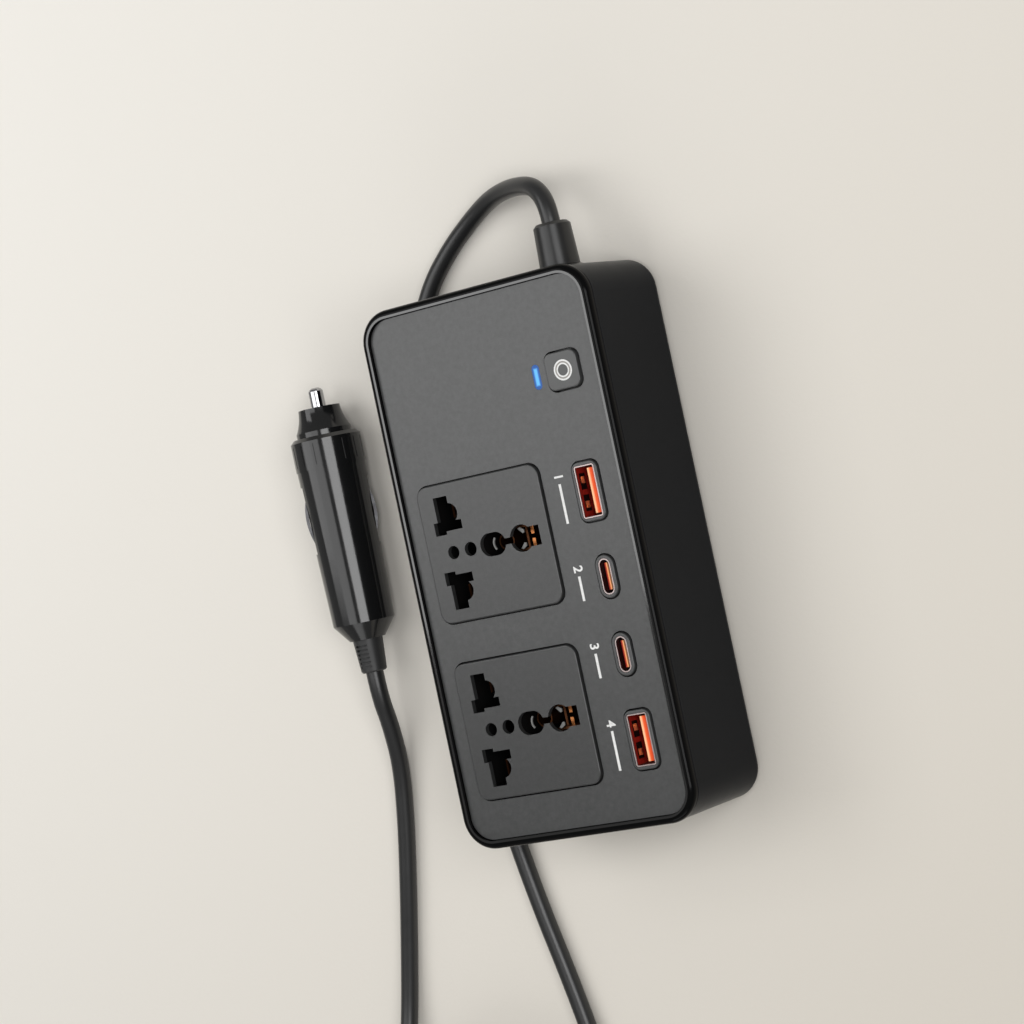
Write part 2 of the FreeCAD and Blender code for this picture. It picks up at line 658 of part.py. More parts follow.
def make_top_cover():
    """The cover: its band and rim, the deck under the face panel, and the posts that hang from the deck."""
    band = rounded_box(CASE_WIDTH, CASE_LENGTH, PARTING, RIM_TOP, CORNER_RADIUS)
    band = band.makeFillet(COVER_FILLET, level_edges(band, RIM_TOP))
    lip_width = INNER_WIDTH - 2 * LIP_CLEARANCE
    lip_length = INNER_LENGTH - 2 * LIP_CLEARANCE
    lip = rounded_box(lip_width, lip_length, DECK_BOTTOM, PARTING, INNER_RADIUS - LIP_CLEARANCE)
    posts = []
    pilots = []
    for x in (-POST_X, POST_X):
        for y in (-POST_Y, POST_Y):
            posts.append(upright_cylinder(x, y, BOSS_TOP, DECK_BOTTOM, 2 * POST_RADIUS))
            pilot = SCREW_DIAMETER + 2 * PILOT_CLEARANCE
            pilots.append(upright_cylinder(x, y, BOSS_TOP, SCREW_SEAT + SCREW_LENGTH + 1, pilot))
    for y in USB_POST_Y:
        posts.append(upright_cylinder(USB_POST_X, y, USB_BOARD_TOP, DECK_BOTTOM, USB_POST_DIAMETER))
        pilot = BOARD_SCREW_DIAMETER + 2 * PILOT_CLEARANCE
        pilot_top = USB_BOARD_BOTTOM + BOARD_SCREW_GRIP + 1
        pilots.append(upright_cylinder(USB_POST_X, y, USB_BOARD_TOP, pilot_top, pilot))
    cuts = [rounded_box(
        CASE_WIDTH - 2 * RIM_WIDTH, CASE_LENGTH - 2 * RIM_WIDTH, DECK_TOP, RIM_TOP + 1,
        CORNER_RADIUS - RIM_WIDTH,
    )]
    for number, y in SOCKETS:
        width = BLOCK_WIDTH + 2 * BLOCK_CLEARANCE
        length = BLOCK_LENGTH + 2 * BLOCK_CLEARANCE
        cuts.append(span_box(
            SOCKET_X - width / 2, SOCKET_X + width / 2, y - length / 2, y + length / 2, DECK_BOTTOM, RIM_TOP
        ))
    for y in USB_A_Y:
        cuts.append(rounded_box(
            USB_A_SHELL_WIDTH + 2 * TRIM_CLEARANCE, USB_A_SHELL_LENGTH + 2 * TRIM_CLEARANCE,
            DECK_BOTTOM, RIM_TOP, USB_A_SHELL_RADIUS, PORT_X, y,
        ))
    for y in USB_C_Y:
        cuts.append(rounded_box(
            USB_C_SHELL_WIDTH + 2 * TRIM_CLEARANCE, USB_C_SHELL_LENGTH + 2 * TRIM_CLEARANCE,
            DECK_BOTTOM, RIM_TOP, USB_C_SHELL_WIDTH, PORT_X, y,
        ))
    button_hole = BUTTON_SIZE + 2 * BUTTON_GAP
    cuts.append(rounded_box(
        button_hole, button_hole, DECK_BOTTOM, RIM_TOP, BUTTON_RADIUS + BUTTON_GAP, BUTTON_X, BUTTON_Y
    ))
    cuts.append(rounded_box(
        WINDOW_WIDTH + 2 * WINDOW_CLEARANCE, WINDOW_LENGTH + 2 * WINDOW_CLEARANCE,
        DECK_BOTTOM, RIM_TOP, WINDOW_WIDTH, LED_X, LED_Y,
    ))
    return joined([band, lip] + posts).cut(Part.makeCompound(cuts + pilots))


def make_face_panel():
    """The thin panel that lies in the rim, cut out around the plates, trims, button and window."""
    inset = RIM_WIDTH + PANEL_CLEARANCE
    panel = rounded_box(
        CASE_WIDTH - 2 * inset, CASE_LENGTH - 2 * inset, DECK_TOP, PANEL_TOP, CORNER_RADIUS - inset
    )
    cuts = []
    for number, y in SOCKETS:
        cuts.append((PLATE_WIDTH, PLATE_LENGTH, PLATE_RADIUS, PLATE_GAP, SOCKET_X, y))
    for y in USB_A_Y:
        cuts.append((USB_A_TRIM_WIDTH, USB_A_TRIM_LENGTH, USB_A_TRIM_RADIUS, TRIM_GAP, PORT_X, y))
    for y in USB_C_Y:
        cuts.append((USB_C_TRIM_WIDTH, USB_C_TRIM_LENGTH, USB_C_TRIM_WIDTH / 2, TRIM_GAP, PORT_X, y))
    cuts.append((BUTTON_SIZE, BUTTON_SIZE, BUTTON_RADIUS, BUTTON_GAP, BUTTON_X, BUTTON_Y))
    cuts.append((WINDOW_WIDTH, WINDOW_LENGTH, WINDOW_WIDTH / 2, WINDOW_CLEARANCE, LED_X, LED_Y))
    for width, length, radius, gap, x, y in cuts:
        hole = rounded_box(width + 2 * gap, length + 2 * gap, DECK_TOP - 1, RIM_TOP, radius + gap, x, y)
        panel = panel.cut(hole)
    return panel


def make_rubber_feet():
    """Four round feet, set a little into the floor."""
    feet = []
    for x in (-CASE_WIDTH / 2 + FOOT_INSET, CASE_WIDTH / 2 - FOOT_INSET):
        for y in (-CASE_LENGTH / 2 + FOOT_INSET, CASE_LENGTH / 2 - FOOT_INSET):
            feet.append(upright_cylinder(x, y, 0, CASE_BOTTOM + FOOT_RECESS, FOOT_DIAMETER))
    return Part.makeCompound(feet)


def make_screw(x, y, seat, grip_way, diameter, head_diameter, head_height, length):
    """A screw whose head bears on a seat, with its shank along Z in the given way."""
    head = Part.makeCylinder(head_diameter / 2, head_height, Vector(x, y, seat), Vector(0, 0, -grip_way))
    shank = Part.makeCylinder(diameter / 2, length, Vector(x, y, seat), Vector(0, 0, grip_way))
    slot = span_box(x - 0.4, x + 0.4, y - head_diameter / 3, y + head_diameter / 3, -1, 1)
    slot.translate(Vector(0, 0, seat - grip_way * head_height))
    return joined([head, shank]).cut(slot)


def make_case_screws():
    """Four screws from below, through the bosses into the cover's posts."""
    screws = []
    for x in (-POST_X, POST_X):
        for y in (-POST_Y, POST_Y):
            screws.append(make_screw(
                x, y, SCREW_SEAT, 1, SCREW_DIAMETER, SCREW_HEAD_DIAMETER, SCREW_HEAD_HEIGHT, SCREW_LENGTH
            ))
    return Part.makeCompound(screws)


def make_board_screws():
    """The screws that hold both boards: four in the floor's standoffs, three in the deck's posts."""
    screws = []
    for x, y in BOARD_SCREWS:
        screws.append(make_screw(
            x, y, MAIN_BOARD_TOP, -1, BOARD_SCREW_DIAMETER, BOARD_SCREW_HEAD,
            BOARD_SCREW_HEAD_HEIGHT, BOARD_SCREW_GRIP,
        ))
    for y in USB_POST_Y:
        screws.append(make_screw(
            USB_POST_X, y, USB_BOARD_BOTTOM, 1, BOARD_SCREW_DIAMETER, BOARD_SCREW_HEAD,
            BOARD_SCREW_HEAD_HEIGHT, BOARD_SCREW_GRIP,
        ))
    return Part.makeCompound(screws)


def make_socket_plate(y):
    """A raised plate with the pin openings of one socket."""
    plate = rounded_box(PLATE_WIDTH, PLATE_LENGTH, DECK_TOP, PLATE_TOP, PLATE_RADIUS, SOCKET_X, y)
    plate = plate.makeFillet(PLATE_EDGE, level_edges(plate, PLATE_TOP))
    return plate.cut(Part.makeCompound(pin_openings(y, DECK_TOP - 1, PLATE_TOP + 1)))


def make_socket_block(y):
    """The insulating block under a plate, with a plain pocket behind each group of pin openings."""
    left = SOCKET_X - BLOCK_WIDTH / 2
    right = SOCKET_X + BLOCK_WIDTH / 2
    half = BLOCK_LENGTH / 2
    block = span_box(left, right, y - half, y + half, BLOCK_BOTTOM, DECK_TOP)
    live_right = SOCKET_X + LIVE_CROSS[1] + CONTACT_CLEARANCE
    middle_half = LIVE_FOOT[2] - BLOCK_WALL - CONTACT_CLEARANCE
    small_right = SOCKET_X + SMALL_HOLE_2_X + SMALL_HOLE_2_RADIUS + CONTACT_CLEARANCE
    pockets = []
    for side in (1, -1):
        near = side * (LIVE_FOOT[2] - CONTACT_CLEARANCE)
        far = side * (half - BLOCK_WALL)
        pockets.append((left + BLOCK_WALL, live_right, y + min(near, far), y + max(near, far)))
    small_left = SOCKET_X + SMALL_HOLE_1_X - SMALL_HOLE_1_RADIUS - CONTACT_CLEARANCE
    pockets.append((small_left, small_right, y - middle_half, y + middle_half))
    pockets.append((small_right + BLOCK_WALL, right - BLOCK_WALL, y - middle_half, y + middle_half))
    for x_from, x_to, y_from, y_to in pockets:
        block = block.cut(span_box(x_from, x_to, y_from, y_to, POCKET_FLOOR, DECK_TOP + 1))
    return block


def make_live_contact(y, side):
    """A channel of two leaves and a floor that grips a live or neutral pin."""
    outer = live_contact_box(y, side)
    x_from = SOCKET_X + LIVE_BLADE[0] - LEAF_GAP
    x_to = SOCKET_X + LIVE_BLADE[1] + LEAF_GAP
    far = LIVE_BLADE[3] + 1
    return outer.cut(span_box(x_from, x_to, y - far, y + far, POCKET_FLOOR + LEAF, RIM_TOP))


def make_earth_contact(y):
    """The earth leaves with their end tab, and the round sleeve beside them on the same strip."""
    outer = earth_contact_box(y)
    half = EARTH_BLADE_WIDTH / 2 + LEAF_GAP / 2
    inner_from = SOCKET_X + EARTH_BLADE_FROM - LEAF_GAP
    leaves = outer.cut(span_box(
        inner_from, SOCKET_X + EARTH_BLADE_TO + 1, y - half, y + half, POCKET_FLOOR + LEAF, RIM_TOP
    ))
    leaves = leaves.cut(span_box(
        inner_from - 2 * LEAF, inner_from + LEAF, y - half, y + half, PLATE_TOP - EARTH_TAB_SINK, RIM_TOP
    ))
    sleeve_x = SOCKET_X + EARTH_OBLONG_FROM + EARTH_OBLONG_RADIUS
    sleeve_top = PLATE_TOP - EARTH_SLEEVE_SINK
    sleeve = upright_cylinder(sleeve_x, y, POCKET_FLOOR, sleeve_top, 2 * EARTH_SLEEVE_RADIUS)
    bore = 2 * (EARTH_SLEEVE_RADIUS - EARTH_SLEEVE_WALL)
    strip_half = EARTH_NECK_WIDTH / 2 - CONTACT_CLEARANCE
    strip = span_box(
        sleeve_x, inner_from, y - strip_half, y + strip_half, POCKET_FLOOR, POCKET_FLOOR + LEAF
    )
    hole = upright_cylinder(sleeve_x, y, POCKET_FLOOR + LEAF, RIM_TOP, bore)
    return joined([leaves, sleeve, strip]).cut(hole)


def make_trim(width, length, radius, hole_width, hole_length, hole_radius, y):
    """The raised frame around a USB port."""
    frame = rounded_box(width, length, DECK_TOP, TRIM_TOP, radius, PORT_X, y)
    frame = frame.makeFillet(TRIM_EDGE, level_edges(frame, TRIM_TOP))
    return frame.cut(rounded_box(
        hole_width + 2 * TRIM_CLEARANCE, hole_length + 2 * TRIM_CLEARANCE, DECK_TOP - 1, RIM_TOP,
        hole_radius, PORT_X, y,
    ))


def make_shell(width, length, radius, y):
    """The metal shell of a USB port, open at both ends."""
    outer = rounded_box(width, length, USB_BOARD_TOP, SHELL_TOP, radius, PORT_X, y)
    return outer.cut(rounded_box(
        width - 2 * SHELL_WALL, length - 2 * SHELL_WALL, USB_BOARD_TOP - 1, SHELL_TOP + 1,
        radius - SHELL_WALL, PORT_X, y,
    ))


def make_tongue(width, length, radius, thickness, tongue_length, offset, sink, y):
    """The insulator in a USB shell: its base block and the tongue that carries the contacts."""
    base = rounded_box(
        width - 2 * SHELL_WALL - 2 * WINDOW_CLEARANCE, length - 2 * SHELL_WALL - 2 * WINDOW_CLEARANCE,
        USB_BOARD_TOP, USB_BOARD_TOP + INSULATOR_HEIGHT, radius - SHELL_WALL, PORT_X, y,
    )
    x = PORT_X + offset
    tongue = span_box(
        x - thickness / 2, x + thickness / 2, y - tongue_length / 2, y + tongue_length / 2,
        USB_BOARD_TOP, SHELL_TOP - sink,
    )
    return joined([base, tongue])


def make_usb_board():
    """The board that carries the ports, the switch and the indicator."""
    right = INNER_WIDTH / 2 - USB_BOARD_CLEARANCE
    far = FAR_END - USB_BOARD_FAR_MARGIN
    near = NEAR_END + USB_BOARD_NEAR_MARGIN
    strip = span_box(PORT_X - USB_BOARD_REACH, right, near, far, USB_BOARD_BOTTOM, USB_BOARD_TOP)
    tab = span_box(
        LED_X - LED_WIDTH / 2 - USB_BOARD_TAB_EDGE, right, far - USB_BOARD_TAB_LENGTH, far,
        USB_BOARD_BOTTOM, USB_BOARD_TOP,
    )
    board = joined([strip, tab])
    for y in USB_POST_Y:
        hole = BOARD_SCREW_DIAMETER + 2 * SCREW_CLEARANCE
        board = board.cut(upright_cylinder(USB_POST_X, y, 0, RIM_TOP, hole))
    return board


def make_power_button():
    """The square button: cap, retaining flange under the deck and stem down to the switch."""
    top = PANEL_TOP + BUTTON_RISE
    flange_top = DECK_BOTTOM - BUTTON_FLANGE_CLEARANCE
    flange_size = BUTTON_SIZE + 2 * (BUTTON_GAP + BUTTON_FLANGE)
    cap = rounded_box(BUTTON_SIZE, BUTTON_SIZE, flange_top - 0.1, top, BUTTON_RADIUS, BUTTON_X, BUTTON_Y)
    cap = cap.makeFillet(BUTTON_EDGE, level_edges(cap, top))
    flange = rounded_box(
        flange_size, flange_size, flange_top - BUTTON_FLANGE_THICKNESS, flange_top,
        BUTTON_RADIUS, BUTTON_X, BUTTON_Y,
    )
    stem_bottom = USB_BOARD_TOP + SWITCH_HEIGHT + PLUNGER_HEIGHT
    stem = upright_cylinder(BUTTON_X, BUTTON_Y, stem_bottom, flange_top, BUTTON_STEM_DIAMETER)
    return joined([cap, flange, stem])


def make_tact_switch():
    """The body of the switch under the button."""
    half = SWITCH_SIZE / 2
    top = USB_BOARD_TOP + SWITCH_HEIGHT
    body = span_box(BUTTON_X - half, BUTTON_X + half, BUTTON_Y - half, BUTTON_Y + half, USB_BOARD_TOP, top)
    bore = PLUNGER_DIAMETER + 2 * PLUNGER_CLEARANCE
    bore_bottom = top - PLUNGER_DEPTH - BUTTON_TRAVEL - BUTTON_FLANGE_CLEARANCE
    return body.cut(upright_cylinder(BUTTON_X, BUTTON_Y, bore_bottom, top + 1, bore))


def make_switch_plunger():
    """The plunger that the button's stem stands on."""
    top = USB_BOARD_TOP + SWITCH_HEIGHT
    return upright_cylinder(BUTTON_X, BUTTON_Y, top - PLUNGER_DEPTH, top + PLUNGER_HEIGHT, PLUNGER_DIAMETER)


def make_indicator():
    """The lamp on the board, and the light guide from it to the face."""
    lamp_top = USB_BOARD_TOP + LED_HEIGHT
    lamp = span_box(
        LED_X - LED_WIDTH / 2, LED_X + LED_WIDTH / 2, LED_Y - LED_LENGTH / 2, LED_Y + LED_LENGTH / 2,
        USB_BOARD_TOP, lamp_top,
    )
    foot = span_box(
        LED_X - LED_WIDTH / 2, LED_X + LED_WIDTH / 2, LED_Y - LED_LENGTH / 2, LED_Y + LED_LENGTH / 2,
        lamp_top, lamp_top + WINDOW_FOOT_HEIGHT,
    )
    guide = rounded_box(WINDOW_WIDTH, WINDOW_LENGTH, lamp_top, PANEL_TOP, WINDOW_WIDTH / 2, LED_X, LED_Y)
    return lamp, joined([foot, guide])


def make_main_board():
    """The power board on the floor's standoffs."""
    half = INNER_WIDTH / 2 - BOARD_EDGE_GAP
    near = FAN_FRONT + BOARD_FAN_GAP
    board = span_box(-half, half, near, FAR_END - BOARD_FAR_MARGIN, MAIN_BOARD_BOTTOM, MAIN_BOARD_TOP)
    for x, y in BOARD_SCREWS:
        hole = BOARD_SCREW_DIAMETER + 2 * SCREW_CLEARANCE
        board = board.cut(upright_cylinder(x, y, 0, RIM_TOP, hole))
    return board


def make_transformer():
    """The ferrite core with its round leg, and the winding on that leg."""
    bottom = MAIN_BOARD_TOP
    top = bottom + TRANSFORMER_HEIGHT
    half_width = TRANSFORMER_WIDTH / 2
    half_length = TRANSFORMER_LENGTH / 2
    winding_diameter = CORE_LEG_DIAMETER + 2 * WINDING_WALL + 4 * WINDING_CLEARANCE
    block = span_box(
        TRANSFORMER_X - half_width, TRANSFORMER_X + half_width,
        TRANSFORMER_Y - half_length, TRANSFORMER_Y + half_length, bottom, top,
    )
    window = span_box(
        TRANSFORMER_X - half_width - 1, TRANSFORMER_X + half_width + 1,
        TRANSFORMER_Y - winding_diameter / 2, TRANSFORMER_Y + winding_diameter / 2,
        bottom + CORE_YOKE, top - CORE_YOKE,
    )
    leg = upright_cylinder(TRANSFORMER_X, TRANSFORMER_Y, bottom, top, CORE_LEG_DIAMETER)
    core = joined([block.cut(window), leg])
    winding = upright_cylinder(
        TRANSFORMER_X, TRANSFORMER_Y, bottom + CORE_YOKE, top - CORE_YOKE - WINDING_CLEARANCE,
        winding_diameter - 2 * WINDING_CLEARANCE,
    )
    bore = CORE_LEG_DIAMETER + 2 * WINDING_CLEARANCE
    winding = winding.cut(upright_cylinder(TRANSFORMER_X, TRANSFORMER_Y, 0, RIM_TOP, bore))
    return core, winding


def make_heat_sink():
    """A finned aluminium plate that stands on the board beside the wall."""
    low = SINK_Y - SINK_LENGTH / 2
    high = SINK_Y + SINK_LENGTH / 2
    top = MAIN_BOARD_TOP + SINK_HEIGHT
    plate_x = SINK_X + SINK_FIN_DEPTH
    pieces = [span_box(plate_x, plate_x + SINK_PLATE, low, high, MAIN_BOARD_TOP, top)]
    for index in range(SINK_FIN_COUNT):
        y = low + index * (SINK_LENGTH - SINK_FIN) / (SINK_FIN_COUNT - 1)
        pieces.append(span_box(SINK_X, plate_x, y, y + SINK_FIN, MAIN_BOARD_TOP + SINK_LIFT, top))
    return joined(pieces)


def make_transistors():
    """Power transistors in a row on the heat sink."""
    x = SINK_X + SINK_FIN_DEPTH + SINK_PLATE
    top = MAIN_BOARD_TOP + TRANSISTOR_HEIGHT
    bodies = []
    for index in range(TRANSISTOR_COUNT):
        y = SINK_Y + (index - (TRANSISTOR_COUNT - 1) / 2) * TRANSISTOR_PITCH
        half = TRANSISTOR_WIDTH / 2
        bodies.append(span_box(x, x + TRANSISTOR_THICKNESS, y - half, y + half, MAIN_BOARD_TOP, top))
    return Part.makeCompound(bodies)


def make_fuse():
    """The board's blade fuse in its holder."""
    y = NEAR_END + FUSE_FROM_END
    half = FUSE_LENGTH / 2
    half_width = FUSE_WIDTH / 2
    middle = MAIN_BOARD_TOP + FUSE_HEIGHT / 2
    body = span_box(
        ROW_X - half_width, ROW_X + half_width, y - half, y + half, middle, MAIN_BOARD_TOP + FUSE_HEIGHT
    )
    inset = FUSE_HOLDER_INSET
    holder = span_box(
        ROW_X - half_width + inset, ROW_X + half_width - inset, y - half + inset, y + half - inset,
        MAIN_BOARD_TOP, middle,
    )
    return joined([body, holder])


def make_capacitors(distances, diameter):
    """Upright capacitors in the row under the USB board, at distances from the near end."""
    return Part.makeCompound([
        upright_cylinder(ROW_X, NEAR_END + distance, MAIN_BOARD_TOP, CAPACITOR_TOP, diameter)
        for distance in distances
    ])


def make_inductor():
    """The filter's ring inductor."""
    y = NEAR_END + INDUCTOR_FROM_END
    top = MAIN_BOARD_TOP + INDUCTOR_HEIGHT
    ring = upright_cylinder(ROW_X, y, MAIN_BOARD_TOP, top, INDUCTOR_DIAMETER)
    return ring.cut(upright_cylinder(ROW_X, y, MAIN_BOARD_TOP, top, INDUCTOR_BORE))


def make_fan_frame():
    """The fan's square frame, with struts that carry the motor's shaft."""
    frame = Part.makeBox(
        FAN_SIZE, FAN_DEPTH, FAN_SIZE, Vector(FAN_X - FAN_SIZE / 2, FAN_BACK, FAN_Z - FAN_SIZE / 2)
    )
    along = [edge for edge in frame.Edges if abs(edge.Vertexes[0].Y - edge.Vertexes[1].Y) > 0.001]
    frame = frame.makeFillet(FAN_CORNER_RADIUS, along)
    centre = Vector(FAN_X, FAN_BACK, FAN_Z)
    forward = Vector(0, 1, 0)
    frame = frame.cut(Part.makeCylinder(FAN_BORE / 2, FAN_DEPTH, centre, forward))
    struts = [Part.makeCylinder(FAN_HUB_DIAMETER / 2, FAN_STRUT_DEPTH, centre, forward)]
    for index in range(FAN_STRUT_COUNT):
        strut = Part.makeBox(
            FAN_STRUT_WIDTH, FAN_STRUT_DEPTH, FAN_BORE / 2 + 0.5,
            Vector(FAN_X - FAN_STRUT_WIDTH / 2, FAN_BACK, FAN_Z),
        )
        strut.rotate(centre, forward, 45 + 360 / FAN_STRUT_COUNT * index)
        struts.append(strut)
    shaft = Part.makeCylinder(FAN_SHAFT_DIAMETER / 2, FAN_DEPTH - FAN_STRUT_DEPTH, centre, forward)
    return joined([frame] + struts + [shaft])


def make_fan_rotor():
    """The fan's hub and blades, with a bore that runs on the shaft."""
    forward = Vector(0, 1, 0)
    back = FAN_BACK + FAN_STRUT_DEPTH + FAN_HUB_GAP
    centre = Vector(FAN_X, back, FAN_Z)
    hub = Part.makeCylinder(FAN_HUB_DIAMETER / 2, FAN_HUB_DEPTH, centre, forward)
    blades = []
    tip = FAN_BORE / 2 - FAN_TIP_CLEARANCE
    for index in range(FAN_BLADE_COUNT):
        blade = Part.makeBox(
            FAN_BLADE_THICKNESS, FAN_BLADE_DEPTH, tip,
            Vector(-FAN_BLADE_THICKNESS / 2, -FAN_BLADE_DEPTH / 2, 0),
        )
        blade.rotate(Vector(0, 0, 0), Vector(0, 0, 1), 40)
        blade.translate(Vector(FAN_X, back + FAN_HUB_DEPTH / 2, FAN_Z))
        blade.rotate(centre, forward, 360 / FAN_BLADE_COUNT * index)
        blades.append(blade)
    sweep = Part.makeCylinder(tip, FAN_HUB_DEPTH, centre, forward)
    rotor = joined([hub] + [blade.common(sweep) for blade in blades])
    bore = FAN_SHAFT_DIAMETER / 2 + FAN_SHAFT_CLEARANCE
    return rotor.cut(Part.makeCylinder(bore, FAN_DEPTH, centre, forward))


def make_strain_relief():
    """The moulded boot that snaps into the end wall: inner flange, neck, outer flange and taper."""
    inner = WALL + RELIEF_INNER_THICKNESS
    axis_start = Vector(RELIEF_X, END_WALL - inner, RELIEF_Z)
    profile = [
        (0, 0),
        (0, RELIEF_FLANGE_DIAMETER / 2),
        (RELIEF_INNER_THICKNESS, RELIEF_FLANGE_DIAMETER / 2),
        (RELIEF_INNER_THICKNESS, RELIEF_NECK_DIAMETER / 2),
        (inner, RELIEF_NECK_DIAMETER / 2),
        (inner, RELIEF_FLANGE_DIAMETER / 2),
        (inner + RELIEF_FLANGE_THICKNESS / 2, RELIEF_FLANGE_DIAMETER / 2),
        (inner + RELIEF_FLANGE_THICKNESS, RELIEF_BASE_DIAMETER / 2),
        (inner + RELIEF_LENGTH - RELIEF_EDGE, RELIEF_END_DIAMETER / 2),
        (inner + RELIEF_LENGTH, RELIEF_END_DIAMETER / 2 - RELIEF_EDGE),
        (inner + RELIEF_LENGTH, 0),
        (0, 0),
    ]
    return turned(profile, axis_start, Vector(RELIEF_X, RELIEF_END, RELIEF_Z))


def plug_point(along):
    """A point on the plug's axis, at a distance from its tip."""
    return Vector(PLUG_X, PLUG_TIP_Y - along, PLUG_AXIS_Z)


def plug_cylinder(along_from, along_to, diameter):
    """A cylinder on the plug's axis."""
    length = along_to - along_from
    return Part.makeCylinder(diameter / 2, length, plug_point(along_from), Vector(0, -1, 0))


def plug_turned(profile):
    """A solid of revolution on the plug's axis."""
    return turned(profile, plug_point(0), plug_point(1))


def side_contact_way(side):
    """The direction in which a side contact stands out of the plug."""
    tilt = math.radians(SIDE_CONTACT_TILT)
    return Vector(side * math.cos(tilt), 0, -side * math.sin(tilt))


def side_box(along_from, along_to, radius_from, radius_to, width, side):
    """A box beside the plug's axis, in the direction of a side contact."""
    box = Part.makeBox(
        radius_to - radius_from, along_to - along_from, width, Vector(radius_from, -along_to, -width / 2)
    )
    turn = FreeCAD.Rotation(Vector(1, 0, 0), side_contact_way(side))
    box.Placement = FreeCAD.Placement(plug_point(0), turn)
    return box


def barrel_radius(along):
    """The barrel's outer radius at a distance from the tip."""
    front = PLUG_RING_DIAMETER / 2 - PLUG_STEP
    share = (along - PLUG_RING_TO) / (PLUG_REAR_AT - PLUG_RING_TO)
    return front + share * (PLUG_REAR_DIAMETER / 2 - front)


def side_contact_crest():
    """The radius that a side contact reaches."""
    return barrel_radius((SIDE_CONTACT_FROM + SIDE_CONTACT_TO) / 2) + SIDE_CONTACT_PROUD


def make_ring_grooves():
    """The shallow grooves around the plug's ring, to be cut from it."""
    radius = PLUG_RING_DIAMETER / 2
    grooves = []
    for index in range(RING_GROOVE_COUNT):
        groove = Part.makeBox(
            radius, RING_GROOVE_TO - RING_GROOVE_FROM, RING_GROOVE_WIDTH,
            Vector(radius - RING_GROOVE_DEPTH, -RING_GROOVE_TO, -RING_GROOVE_WIDTH / 2),
        )
        turn = FreeCAD.Rotation(Vector(0, -1, 0), RING_GROOVE_FIRST + 360 * index / RING_GROOVE_COUNT)
        groove.Placement = FreeCAD.Placement(plug_point(0), turn)
        grooves.append(groove)
    return grooves


def make_plug_barrel():
    """The plug's body: ring, taper and chamfered end, bored for the cap, the fuse and the spring."""
    ring = PLUG_RING_DIAMETER / 2
    front = ring - PLUG_STEP
    body = plug_turned([
        (PLUG_RING_FROM, 0),
        (PLUG_RING_FROM, ring - PLUG_SHOULDER),
        (PLUG_RING_FROM + PLUG_SHOULDER, ring),
        (PLUG_RING_TO, ring),
        (PLUG_RING_TO, front),
        (PLUG_REAR_AT, PLUG_REAR_DIAMETER / 2),
        (PLUG_END_AT, PLUG_END_DIAMETER / 2),
        (PLUG_END_AT, 0),
        (PLUG_RING_FROM, 0),
    ])
    thread = CAP_SLEEVE_DIAMETER + 2 * CAP_THREAD_CLEARANCE
    bore_end = PLUG_RING_FROM + TIP_FLANGE_THICKNESS + FUSE_TUBE_LENGTH + SPRING_LENGTH
    body = body.cut(plug_cylinder(PLUG_RING_FROM, CAP_SLEEVE_TO, thread))
    body = body.cut(plug_cylinder(PLUG_RING_FROM, bore_end, PLUG_BORE_DIAMETER))
    body = body.cut(make_ring_grooves())
    tab_top = side_contact_crest() - SIDE_CONTACT_SWELL
    low = tab_top - SIDE_CONTACT_THICKNESS - SIDE_CONTACT_TRAVEL - SIDE_CONTACT_CLEARANCE
    width = SIDE_CONTACT_WIDTH + 2 * SIDE_CONTACT_CLEARANCE
    inset = SIDE_CONTACT_TAB - SIDE_CONTACT_CLEARANCE
    for side in (1, -1):
        pocket = side_box(
            SIDE_CONTACT_FROM - SIDE_CONTACT_CLEARANCE, SIDE_CONTACT_TO + SIDE_CONTACT_CLEARANCE,
            low, tab_top + SIDE_CONTACT_CLEARANCE, width, side,
        )
        window = side_box(
            SIDE_CONTACT_FROM + inset, SIDE_CONTACT_TO - inset, low, PLUG_RING_DIAMETER, width, side
        )
        body = body.cut(joined([pocket, window]))
    return body


def make_plug_cap():
    """The screwed nose cap: concave nose, flared base and the sleeve in the barrel."""
    nose = Vector(CAP_FROM, CAP_NOSE_DIAMETER / 2, 0)
    waist = Vector(CAP_WAIST_AT, CAP_WAIST_DIAMETER / 2, 0)
    base = Vector(CAP_BASE_AT, CAP_BASE_DIAMETER / 2, 0)
    corners = [
        base,
        Vector(PLUG_RING_FROM, CAP_BASE_DIAMETER / 2, 0),
        Vector(PLUG_RING_FROM, CAP_SLEEVE_DIAMETER / 2, 0),
        Vector(CAP_SLEEVE_TO, CAP_SLEEVE_DIAMETER / 2, 0),
        Vector(CAP_SLEEVE_TO, 0, 0),
        Vector(CAP_FROM, 0, 0),
        nose,
    ]
    edges = [Part.Arc(nose, waist, base).toShape()]
    for start, end in zip(corners, corners[1:]):
        edges.append(Part.makeLine(start, end))
    solid = Part.Face(Part.Wire(edges)).revolve(Vector(0, 0, 0), Vector(1, 0, 0), 360)
    solid.Placement = FreeCAD.Placement(plug_point(0), FreeCAD.Rotation(Vector(1, 0, 0), Vector(0, -1, 0)))
    solid = solid.cut(plug_cylinder(0, PLUG_RING_FROM, TIP_DIAMETER + 2 * TIP_CLEARANCE))
    return solid.cut(plug_cylinder(PLUG_RING_FROM, CAP_SLEEVE_TO, PLUG_BORE_DIAMETER))


